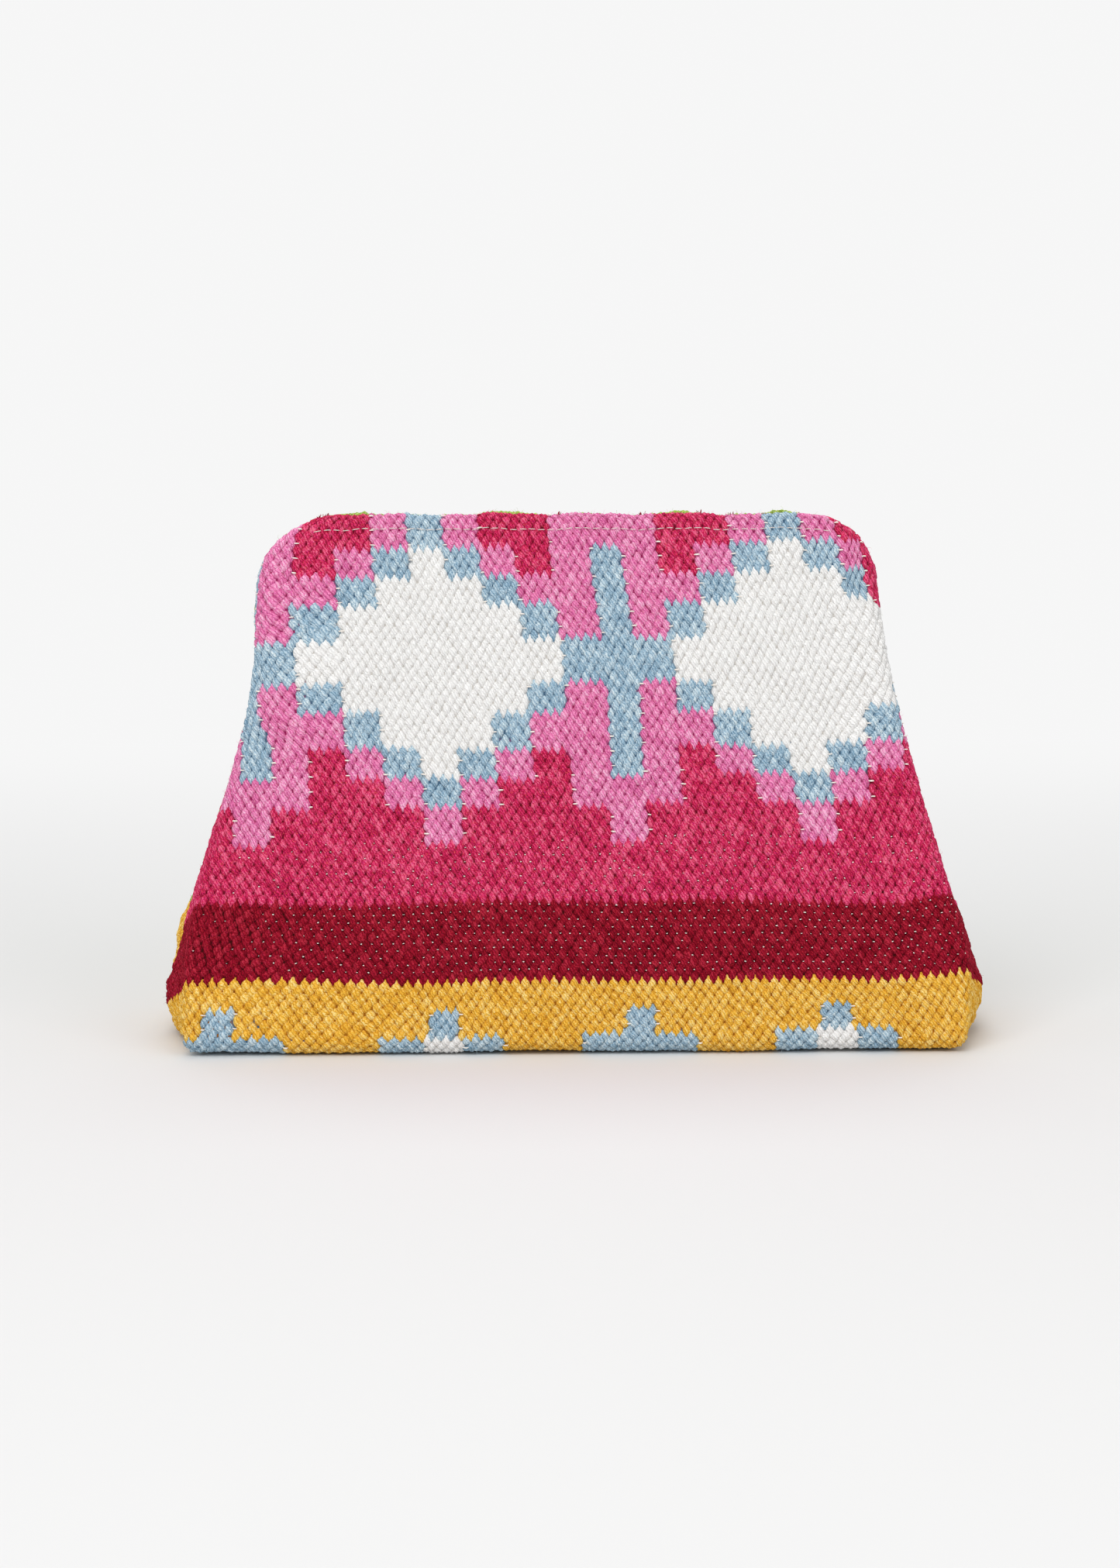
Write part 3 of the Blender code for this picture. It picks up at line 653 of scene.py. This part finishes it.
def floatSet(name, columns, warps, ends, face, material, lean):
    # humps of yarn: one small grid of points for each float, a across it and b along it
    count = len(columns)
    a, b = (grid.ravel() for grid in np.meshgrid(yarnForm["across"], yarnForm["along"]))
    shift = chance.uniform(-1, 1, (count, 8))
    size = 1 + yarnForm["sizeChance"] * shift[:, 0:1]
    bent = b + yarnForm["bulge"] * shift[:, 6:7] * (1 - b * b)
    blunt, rounded = yarnForm["outline"]
    width = np.maximum((1 - np.abs(bent) ** blunt) ** rounded, yarnForm["tip"])
    leftEnds, rightEnds, lowEnds, highEnds = (ends[:, k:k + 1] for k in range(4))
    wide = np.where(np.where(a < 0, leftEnds, rightEnds), yarnForm["turnedShare"], 1.0)
    tall = np.where(np.where(b < 0, lowEnds, highEnds), yarnForm["tooth"], 1.0)
    everyOther = 1 - 2 * (columns[:, None] % 2)
    slant = lean[0] + lean[1] * everyOther + yarnForm["leanChance"] * shift[:, 1:2]
    column = (columns[:, None] + yarnForm["placeChance"] * shift[:, 2:3]
              + a * width * wide * yarnForm["halfWidth"] * size - slant * b)
    warp = (warps[:, None] + yarnForm["placeChance"] * shift[:, 3:4]
            + b * tall * yarnForm["halfLength"] * (1 + yarnForm["sizeChance"] * shift[:, 7:8]))
    acrossPower, alongPower = yarnForm["hump"]
    hump = (1 - np.abs(a) ** blunt) ** acrossPower * np.cos(b * math.pi / 2).clip(0, 1) ** alongPower
    across, rise = clothPlace(column, warp)
    # where the cloth is drawn sideways its floats still stand fairly upright
    uprightAcross, _ = clothPlace(column, np.broadcast_to(warps[:, None], column.shape).astype(float))
    across = across + yarnForm["upright"] * (uprightAcross - across)
    tallness = yarnForm["sunk"] + yarnForm["heightChance"] * (shift[:, 4:5] + yarnForm["heightMiddle"])
    spots = onCloth(across, rise, face, hump * tallness - yarnForm["sunk"] - dents(across, rise))
    cell = gridFaces(len(yarnForm["along"]), len(yarnForm["across"]))
    if face > 0:
        cell = cell[:, ::-1]
    faces = (np.arange(count)[:, None, None] * len(a) + cell[None]).reshape(-1, 4)
    perSide = math.ceil(math.sqrt(count))
    cellAt = np.stack([np.arange(count) % perSide, np.arange(count) // perSide], 1)[:, None, :]
    atlas = (cellAt + 0.5 + 0.45 * np.stack([a, b], 1)[None]) / perSide
    # the strands' map is in millimetres, and moved by chance so that no two floats look alike
    mapX, mapY = yarnForm["mapMillimetres"]
    strand = np.stack([a * mapX * width, np.broadcast_to(b * mapY, width.shape)], -1)
    strand = strand + yarnForm["mapSpread"] * chance.uniform(0, 1, (count, 1, 2))
    # across and along the float from -1 to 1, and a number by chance from 0 to 1
    yarn = np.stack([np.broadcast_to(values, width.shape)
                     for values in (a, b, shift[:, 5:6] * 0.5 + 0.5)], -1)
    return addMesh(name, spots.reshape(-1, 3), faces, [material],
                   uvs={"OFBake": atlas.reshape(-1, 2), "strand": strand.reshape(-1, 2)},
                   points={"yarn": yarn.reshape(-1, 3)})


# Yarn

yarnLooks = {
    # the gap colour is painted shade between the floats; tones: from dark to light strands; flecks: odd
    # fibres;
    # variety: how much the strands differ; edge: how strongly painted shade darkens the floats' edges;
    # lean: of all floats, and of every other column
    "cream": {
        "gapShade": (0.64, 0.61, 0.575),
        "tones": ((0.8, 0.785, 0.755), (0.91, 0.9, 0.885), (0.945, 0.94, 0.93), (0.965, 0.965, 0.955)),
        "flecks": ((0.76, 0.73, 0.68), (0.86, 0.83, 0.79)),
        "variety": 0.9, "edge": 0.58, "lean": (0.02, 0.05),
    },
    "blue": {
        "gapShade": (0.08, 0.16, 0.25),
        "tones": ((0.16, 0.29, 0.41), (0.33, 0.49, 0.62), (0.46, 0.615, 0.72), (0.72, 0.83, 0.87)),
        "flecks": ((0.62, 0.72, 0.78), (0.2, 0.37, 0.54)),
        "variety": 1.5, "edge": 0.66, "lean": (0.0, 0.16),
    },
    "pink": {
        "gapShade": (0.34, 0.02, 0.12),
        "tones": ((0.57, 0.085, 0.265), (0.83, 0.19, 0.43), (0.92, 0.295, 0.555), (0.97, 0.51, 0.71)),
        "flecks": ((0.76, 0.28, 0.34), (0.64, 0.11, 0.4)),
        "variety": 1.5, "edge": 0.8, "lean": (0.1, 0.03),
    },
    "crimson": {
        "gapShade": (0.17, 0.002, 0.016),
        "tones": ((0.36, 0.008, 0.045), (0.64, 0.018, 0.096), (0.775, 0.04, 0.157), (0.9, 0.16, 0.29)),
        "flecks": ((0.78, 0.12, 0.09), (0.56, 0.02, 0.25)),
        "variety": 1.8, "edge": 0.95, "lean": (0.05, 0.05),
    },
    "burgundy": {
        "gapShade": (0.06, 0.001, 0.003),
        "tones": ((0.14, 0.002, 0.008), (0.27, 0.003, 0.016), (0.34, 0.006, 0.024), (0.52, 0.03, 0.06)),
        "flecks": ((0.52, 0.03, 0.04), (0.3, 0.01, 0.06)),
        "variety": 1.6, "edge": 1.0, "lean": (0.03, 0.05),
    },
    "mustard": {
        "gapShade": (0.38, 0.14, 0.008),
        "tones": ((0.66, 0.29, 0.02), (0.88, 0.465, 0.045), (0.96, 0.57, 0.08), (1.0, 0.76, 0.28)),
        "flecks": ((0.88, 0.38, 0.02), (0.9, 0.62, 0.05)),
        "variety": 1.6, "edge": 0.9, "lean": (0.04, 0.06),
    },
    "green": {
        "gapShade": (0.11, 0.17, 0.02),
        "tones": ((0.22, 0.33, 0.04), (0.36, 0.52, 0.08), (0.47, 0.64, 0.14), (0.68, 0.78, 0.36)),
        "flecks": ((0.7, 0.66, 0.14), (0.3, 0.5, 0.1)),
        "variety": 1.1, "edge": 0.62, "lean": (0.06, 0.05),
    },
}
strandLook = {
    "tonesAt": (0.0, 0.35, 0.7, 1.0),
    "middleTone": 0.52,
    "pitch": 1.0,  # millimetres between the strands of a yarn
    "twist": math.radians(30),
    "wander": 1.4, "wanderScale": 0.9,
    # round is painted shade: lighter along each strand's middle, darker between strands; drawn, fibre
    # and float differ by chance
    "drawn": 0.34, "fibre": 1.8, "round": 0.34, "float": 0.2,  # what makes the tones differ
    "drawnRun": 0.3,  # how often a strand's tone changes along it, in a millimetre
    "fibreScale": (3.2, 1.3), "fleckScale": (2.2, 1.1),
    "flecks": ((0.66, 0.7), (0.68, 0.6)),  # above this, and how strongly
    # painted shade on each float's sides and ends, less on its upper end as though lit from above
    "sideShade": 0.6, "endShade": 0.7, "topLessShade": 0.34,
    "bump": 0.8, "bumpDepth": 0.0005, "bumpRound": 0.7, "bumpFibre": 0.5,
}


def yarnMaterial(name):
    look = yarnLooks[name]
    s = Shader(name + "_yarn", {"Roughness": 0.9, "Sheen Weight": 0.05, "Sheen Roughness": 0.5,
                                "Sheen Tint": look["tones"][-1], "Specular IOR Level": 0.08})
    place = s.node("UVMap", {"uv_map": "strand"})
    x = s.apart(place)
    y = x.out("Y")
    yarn = s.apart(s.node("Attribute", {"attribute_name": "yarn"}, output="Vector"))
    twistCos, twistSin = math.cos(strandLook["twist"]), math.sin(strandLook["twist"])
    across = x * twistCos + y * twistSin
    along = y * twistCos - x * twistSin
    loose = s.noise(place, strandLook["wanderScale"], 1.0)
    strand = across / strandLook["pitch"] + strandLook["wander"] * loose
    roundness = 4 * strand.maths("FRACT") * (1 - strand.maths("FRACT"))
    run = along * strandLook["drawnRun"]
    drawn = s.node("TexWhiteNoise", {"noise_dimensions": "2D"},
                   {"Vector": s.together(strand.maths("FLOOR"), run.maths("FLOOR"))})
    fibreX, fibreY = strandLook["fibreScale"]
    fibre = s.noise(s.together(across * fibreX, along * fibreY), 1.0, 4.0, 0.7)
    # the round term paints shade between the strands and light on their crests
    tone = (strandLook["drawn"] * (drawn - 0.5) + strandLook["fibre"] * (fibre - 0.5)
            + strandLook["round"] * (roundness - 0.6) + strandLook["float"] * (yarn.out("Z") - 0.5))
    stops = list(zip(strandLook["tonesAt"], look["tones"]))
    tone = strandLook["middleTone"] + look["variety"] * tone
    colour = s.node("ValToRGB", {"stops": stops}, {"Fac": tone})
    fleckX, fleckY = strandLook["fleckScale"]
    odd = s.noise(s.together(across * fleckX, along * fleckY, 7.0), 1.0, 1.0)
    for wire, (limit, share), fleck in zip((odd, 1 - odd), strandLook["flecks"], look["flecks"]):
        colour = s.mix(wire.maths("GREATER_THAN", limit) * share, colour, fleck)
    # painted shade: each float darkens towards its sides and ends, its lower end most, into the gap
    # colour
    ends = strandLook["endShade"] - strandLook["topLessShade"] * yarn.out("Y")
    edge = abs(yarn) ** 3 * strandLook["sideShade"] + abs(yarn.out("Y")) ** 3 * ends
    s.colour(s.mix(edge * look["edge"], colour, look["gapShade"]))
    s.bump(strandLook["bumpRound"] * roundness + strandLook["bumpFibre"] * fibre,
           strandLook["bump"], strandLook["bumpDepth"])
    return s.material


def makeWefts(face, side):
    # one piece for each colour, on the wall and under the base
    pieces = []
    columns, warps, names, ends = floatCentres(face)
    for part, there in ((side, warps >= 0), ("base_" + side, warps < 0)):
        for name, material in yarns.items():
            chosen = (names == name) & there
            if chosen.any():
                pieces.append(floatSet("weft_%s_%s" % (part, name), columns[chosen], warps[chosen],
                                       ends[chosen], face, material, yarnLooks[name]["lean"]))
                print(pieces[-1].name, int(chosen.sum()), "floats")
    return pieces


yarns = {name: yarnMaterial(name) for name in yarnLooks}
print("yarn materials:", ", ".join(yarns))
weftPieces = [piece for face, side in sides for piece in makeWefts(face, side)]


# Ground: the cloth behind the floats, with its turned-in top edge, coloured with painted shade where it
# shows between them

ground = {
    "sunk": 0.0015, "thickness": 0.0005,
    "everyLevel": 3,  # only every third level line is used
    "mottle": 0.25, "mottleTone": (0.05, 0.03, 0.02),
}


def groundMaterial():
    s = Shader("ground", {"Roughness": 0.95, "Specular IOR Level": 0.1})
    place = s.place()
    # painted shade: each point takes the gap shade colour of the pattern above it, mottled by chance
    shade = s.node("Attribute", {"attribute_name": "shade"}, output="Color")
    mottle = s.noise(place, 900.0, 3.0, 0.6)
    s.colour(s.mix(mottle * ground["mottle"], shade, ground["mottleTone"]))
    s.bump(mottle, 0.5, 0.0003)
    return s.material


def groundGapShades(face, side, kept, along):
    # the painted gap shade of the pattern's colour at each point of the ground
    distance, fold = lineLengths[np.ix_(kept, along)], folds[kept][:, None]
    beyond = np.maximum(0.0, distance - fold)
    across = side * (np.minimum(distance, fold) + beyond * math.cos(form["sideTurn"]))
    rise = rises[kept][:, None] + beyond * math.sin(form["sideTurn"]) - weave["rowTilt"] * across
    pick = (across - patternAxis(rise)) / pickWidth(rise)
    return np.array([[yarnLooks[patternColour(face, *place)]["gapShade"] for place in zip(*row)]
                     for row in zip(pick, rise)])


def makeGround():
    # one skin round the bag, a quarter at a time, closed at the middle of the base
    kept = list(range(0, len(levels) - 1, ground["everyLevel"])) + [len(levels) - 1]
    spots, shades = [], []
    for face, side, order in ((-1, 1, 1), (1, 1, -1), (1, -1, 1), (-1, -1, -1)):
        along = np.arange(lastStation + 1)[::order][:-1]
        spot = levels[np.ix_(kept, along)] - ground["sunk"] * outward[np.ix_(kept, along)]
        spots.append(relaxed(spot * np.array([side, -face, 1.0])))
        shades.append(groundGapShades(face, side, kept, along))
    ring, shade = np.concatenate(spots, 1), np.concatenate(shades, 1)
    rows, columns = ring.shape[:2]
    faces = gridFaces(rows, columns, closed=True)
    piece = addMesh("woven_ground", ring.reshape(-1, 3), faces, [groundMaterial()],
                    points={"shade": shade.reshape(-1, 3)})
    builder = bmesh.new()
    builder.from_mesh(piece.data)
    builder.verts.ensure_lookup_table()
    hub = builder.faces.new([builder.verts[k] for k in range(columns)][::-1])
    hub.smooth = True
    bmesh.ops.recalc_face_normals(builder, faces=builder.faces)
    builder.to_mesh(piece.data)
    builder.free()
    thick = piece.modifiers.new("Thickness", "SOLIDIFY")
    thick.thickness = ground["thickness"]
    thick.offset = -1.0
    return piece


groundPiece = makeGround()
print("ground made")


# Topstitch

def threadMaterial(name, dark, light):
    s = Shader(name, {"Roughness": 0.8, "Sheen Weight": 0.1})
    place = s.place()
    fibre = s.noise(place, 1600.0, 2.0)
    s.colour(s.mix(fibre, dark, light))
    s.bump(fibre, 0.4, 0.0002)
    return s.material


def tubes(name, paths, radii, sides, materials, slots=None):
    # tubes along paths of points; radii shrink to the ends, and slots picks each tube's material
    spots, faces, start = [], [], 0
    turn = np.linspace(0, 2 * math.pi, sides, endpoint=False)
    for path, radius in zip(paths, radii):
        path, radius = np.asarray(path, float), np.asarray(radius, float)
        run = np.gradient(path, axis=0)
        run /= np.linalg.norm(run, axis=1, keepdims=True)
        steep = abs(run[len(run) // 2][2]) >= 0.8
        first = np.cross(run, (1.0, 0.0, 0.0) if steep else (0.0, 0.0, 1.0))
        first /= np.linalg.norm(first, axis=1, keepdims=True)
        second = np.cross(run, first)
        ring = (np.cos(turn)[None, :, None] * first[:, None]
                + np.sin(turn)[None, :, None] * second[:, None])
        spots.append((path[:, None] + radius[:, None, None] * ring).reshape(-1, 3))
        faces.append(gridFaces(len(path), sides, closed=True) + start)
        start += len(path) * sides
    perFace = None if slots is None else np.repeat(slots, [len(face) for face in faces])
    return addMesh(name, np.concatenate(spots), np.concatenate(faces), materials, perFace)


def eitherWay(most):
    return chance.uniform(-most, most)


def makeTopstitch(face, side):
    end = stitchLine["across"][-1]
    sample = np.linspace(-end, end, stitchLine["samples"])
    rise = topRise - stitchDrop(sample)
    length = np.concatenate([[0], np.cumsum(np.hypot(np.diff(sample), np.diff(rise)))])
    paths, radii = [], []
    place = stitchLine["pitch"] / 2
    along = np.linspace(-1, 1, stitchLine["rings"])
    lift = stitchLine["lift"] - stitchLine["endsSunk"] * np.abs(along) ** 4
    taper = np.clip(1.25 - np.abs(along) ** 3, 0.3, 1)
    while place < length[-1]:
        half = stitchLine["length"] / 2 * (1 + eitherWay(stitchLine["lengthChance"]))
        at = place + along * half
        up = np.interp(at, length, rise) + eitherWay(stitchLine["riseChance"])
        up += along * chance.uniform(*stitchLine["tiltChance"])
        paths.append(onCloth(np.interp(at, length, sample), up, face, lift))
        radii.append(stitchLine["radius"] * taper)
        place += stitchLine["pitch"] * (1 + eitherWay(stitchLine["pitchChance"]))
    return tubes("topstitch_" + side, paths, radii, stitchLine["sides"], [thread])


thread = threadMaterial("stitch_thread", (0.6, 0.5, 0.46), (0.86, 0.8, 0.74))
stitchPieces = [makeTopstitch(face, side) for face, side in sides]
print("topstitch made")


# Warp: cotton shows as dashes where two colours stand side by side, and as dots between the floats

warpBit = {
    "radius": 0.00029, "endsSunk": 0.0007, "tiltChance": 0.00012, "sides": 6, "rings": 7,
    "dashLength": 0.0021, "dashLengths": (0.7, 1.15), "dashRadii": (0.75, 1.2),
    "dashLift": -0.00012, "dashAside": 0.92, "dashShare": 0.85,
    "dotLength": 0.0008, "dotLengths": (0.4, 1.3), "dotRadii": (0.32, 0.85),
    "dotLift": -0.00085, "dotLifts": (-0.0001, 0.0003), "dotAside": 0.1,
    "dotShare": 0.84, "crimsonShare": 0.38, "crimsonTop": 0.088,
    "dotsFrom": (-86, -66), "fewDots": 0.1,  # fewer dots left of these columns
}


def makeWarpBits(face, side):
    columns, warps, names, ends = floatCentres(face)
    paths, radii = [], []
    along = np.linspace(-1, 1, warpBit["rings"])
    taper = np.sqrt(np.clip(1 - np.abs(along) ** 3, 0.02, 1))

    def bit(column, warp, length, radius, lift):
        across, rise = clothPlace(np.array([column]), np.array([warp]))
        spread = across + along * length / 2
        up = rise + along * eitherWay(warpBit["tiltChance"])
        paths.append(onCloth(spread, up, face, lift - warpBit["endsSunk"] * np.abs(along) ** 3))
        radii.append(radius * taper)

    onWall = (warps > 1) & (warps * weave["warpPitch"] < topRise)
    for column, warp, colour, (_, rightEnds, _, highEnds) in zip(
            columns[onWall], warps[onWall], names[onWall], ends[onWall]):
        if rightEnds and chance.uniform() < warpBit["dashShare"]:
            bit(column + warpBit["dashAside"], warp,
                warpBit["dashLength"] * chance.uniform(*warpBit["dashLengths"]),
                warpBit["radius"] * chance.uniform(*warpBit["dashRadii"]), warpBit["dashLift"])
        rise = warp * weave["warpPitch"]
        low = colour == "burgundy" or colour == "crimson" and rise < warpBit["crimsonTop"]
        share = warpBit["dotShare"] if colour == "burgundy" else warpBit["crimsonShare"]
        share *= np.interp(column, warpBit["dotsFrom"], (warpBit["fewDots"], 1.0))
        if low and not highEnds and chance.uniform() < share:
            bit(column + eitherWay(warpBit["dotAside"]), warp + 1,
                warpBit["dotLength"] * chance.uniform(*warpBit["dotLengths"]),
                warpBit["radius"] * chance.uniform(*warpBit["dotRadii"]),
                warpBit["dotLift"] - chance.uniform(*warpBit["dotLifts"]))
    return tubes("warp_" + side, paths, radii, warpBit["sides"], [warpCotton])


warpCotton = threadMaterial("warp_cotton", (0.78, 0.7, 0.63), (1.0, 0.97, 0.9))
warpPieces = [makeWarpBits(face, side) for face, side in sides]
print("warp bits made")


# Fuzz: loose wool fibres over the weave, and a few tufts along the top edge

fuzz = {
    "share": 0.13, "radius": 0.000045, "sides": 3, "rings": 6,
    "reach": 0.0017, "reaches": (0.5, 1.6), "rise": 0.0011, "risesBy": (0.4, 1.5),
    "bend": 1.6, "arch": 2.2, "rootSunk": 0.0006,
    "tufts": (-0.104, -0.1, -0.0055, 0.0265, 0.049, 0.061), "tuftFibres": 5,
    "tuftWidth": 0.0008, "tuftDepth": 0.0015, "tuftReach": 0.0006, "tuftRadius": 0.00013,
    "tuftRise": 0.0008, "tuftRises": (0.9, 1.8),
}


def fuzzMaterial(name):
    return Shader(name + "_fuzz", {"Base Color": yarnLooks[name]["tones"][2], "Roughness": 0.95,
                                   "Specular IOR Level": 0.1}).material


def makeFuzz(face, side):
    columns, warps, names, _ = floatCentres(face)
    colours = list(yarnLooks)
    chosen = np.nonzero((chance.uniform(0, 1, len(columns)) < fuzz["share"]) & (warps > 0))[0]
    paths, radii, slots = [], [], []
    along = np.linspace(0, 1, fuzz["rings"])

    def fibre(across, rise, reach, up, radius, colour):
        heading, bend = chance.uniform(0, 2 * math.pi), eitherWay(fuzz["bend"])
        turn = heading + bend * along
        away = np.cumsum(np.stack([np.cos(turn), np.sin(turn)]), 1) * reach / len(along)
        lift = up * np.sin(along * fuzz["arch"]) - fuzz["rootSunk"]
        paths.append(onCloth(across + away[0], rise + away[1], face, lift))
        radii.append(radius * (1.1 - along))
        slots.append(colours.index(colour))

    across, rise = clothPlace(columns[chosen].astype(float), warps[chosen].astype(float))
    for x, z, colour in zip(across, rise, names[chosen]):
        fibre(x, min(z, topRise), fuzz["reach"] * chance.uniform(*fuzz["reaches"]),
              fuzz["rise"] * chance.uniform(*fuzz["risesBy"]), fuzz["radius"], colour)
    for place in fuzz["tufts"]:
        for _ in range(fuzz["tuftFibres"]):
            fibre(place + eitherWay(fuzz["tuftWidth"]), topRise + chance.uniform(0.0, fuzz["tuftDepth"]),
                  fuzz["tuftReach"], fuzz["tuftRise"] * chance.uniform(*fuzz["tuftRises"]),
                  fuzz["tuftRadius"], "burgundy")
    return tubes("fuzz_" + side, paths, radii, fuzz["sides"], fuzzMaterials, slots)


fuzzMaterials = [fuzzMaterial(name) for name in yarnLooks]
fuzzPieces = [makeFuzz(face, side) for face, side in sides]
print("fuzz made")


# Lining and zip: the solids keep their shape and get their finish

def clothFinish(name, dark, light, threads):
    s = Shader(name, {"Roughness": 0.85, "Sheen Weight": 0.15})
    place = s.place()
    x = s.apart(place)
    y, z = x.out("Y"), x.out("Z")
    woven = ((x + 0.3 * y) * threads).maths("SINE") * ((z + 0.6 * y) * threads).maths("SINE")
    cloudy = s.noise(place, 260.0, 3.0)
    s.colour(s.mix(0.5 + 0.25 * woven + 0.5 * (cloudy - 0.5), dark, light))
    s.bump(woven + cloudy, 0.4, 0.0002)
    return s.material


def brassFinish():
    s = Shader("satin_brass", {"Metallic": 1.0})
    place = s.place()
    worn = s.noise(place, 320.0, 4.0, 0.6)
    drawnOut = s.node("VectorMath", {"operation": "MULTIPLY"}, {0: place, 1: (120.0, 2600.0, 2600.0)})
    brushed = s.noise(drawnOut, 1.0, 2.0)
    s.colour(s.mix(worn, (0.46, 0.3, 0.12), (0.8, 0.6, 0.3)))
    s.feed(s.surface.inputs["Roughness"], 0.22 + 0.26 * worn)
    s.bump(brushed, 0.12, 0.0001)
    return s.material


cotton = clothFinish("lining_cotton", (0.66, 0.61, 0.52), (0.84, 0.8, 0.72), 5200.0)
tape = clothFinish("zip_tape_weave", (0.2, 0.012, 0.03), (0.42, 0.05, 0.1), 4200.0)
brass = brassFinish()
finishes = {"lining": cotton, "zip_tape_front": tape, "zip_tape_back": tape}
for name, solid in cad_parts.items():
    if name != "woven_shell":
        for holder in solid.material_slots:
            holder.material = finishes.get(name, brass)
print("lining and zip finished")


# Backdrop and world

def makeBackdrop():
    tone = studio["floorTone"]
    s = Shader("backdrop", {"Base Color": tone, "Roughness": 0.9, "Specular IOR Level": 0.0})
    seen = s.node("LightPath", output="Is Camera Ray")
    seen = seen + seen.out("Is Glossy Ray") + seen.out("Is Transmission Ray")
    place = s.apart(s.place())
    away = s.node("MapRange", {"interpolation_type": "SMOOTHSTEP"},
                  {"Value": abs(place.out("Y") - studio["whiteMiddle"]),
                   1: studio["whiteFrom"], 2: studio["whiteTo"]})
    white = s.node("Emission", None, {"Color": (1.0, 1.0, 1.0), "Strength": studio["backdropWhite"]})
    matt = s.node("BsdfDiffuse", None, {"Color": tone})
    mixed = s.node("MixShader", None, {0: seen * away, 1: matt, 2: white})
    s.feed(s.tree.nodes["Material Output"].inputs["Surface"], mixed)
    back, curve, drop = studio["floorBack"], studio["backdropCurve"], studio["floorDrop"]
    profile = [(studio["floorFront"], -drop), (back, -drop)]
    for turn in np.linspace(0, math.pi / 2, 12)[1:]:
        profile.append((back + curve * math.sin(turn), curve - curve * math.cos(turn) - drop))
    profile.append((back + curve, studio["backdropTop"]))
    halfWidth = studio["floorHalfWidth"]
    spots = [(x, y, z) for y, z in profile for x in (-halfWidth, halfWidth)]
    piece = addMesh("backdrop", spots, gridFaces(len(profile), 2), [s.material])


def makeWorld():
    world = bpy.data.worlds.new("studio")
    bpy.context.scene.world = world
    world.use_nodes = True
    background = world.node_tree.nodes["Background"]
    background.inputs["Color"].default_value = (1.0, 1.0, 1.0, 1.0)
    background.inputs["Strength"].default_value = studio["worldLight"]


makeCamera()
makeLamps()
makeBackdrop()
makeWorld()
bpy.context.scene.view_settings.view_transform = "Standard"
print("studio made")

# What each piece rides on

for piece in weftPieces + [groundPiece]:
    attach(piece, "bag")
    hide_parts("woven_shell")
for piece in stitchPieces + warpPieces:
    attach(piece, "bag")
for piece in fuzzPieces:
    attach(piece, "bag")
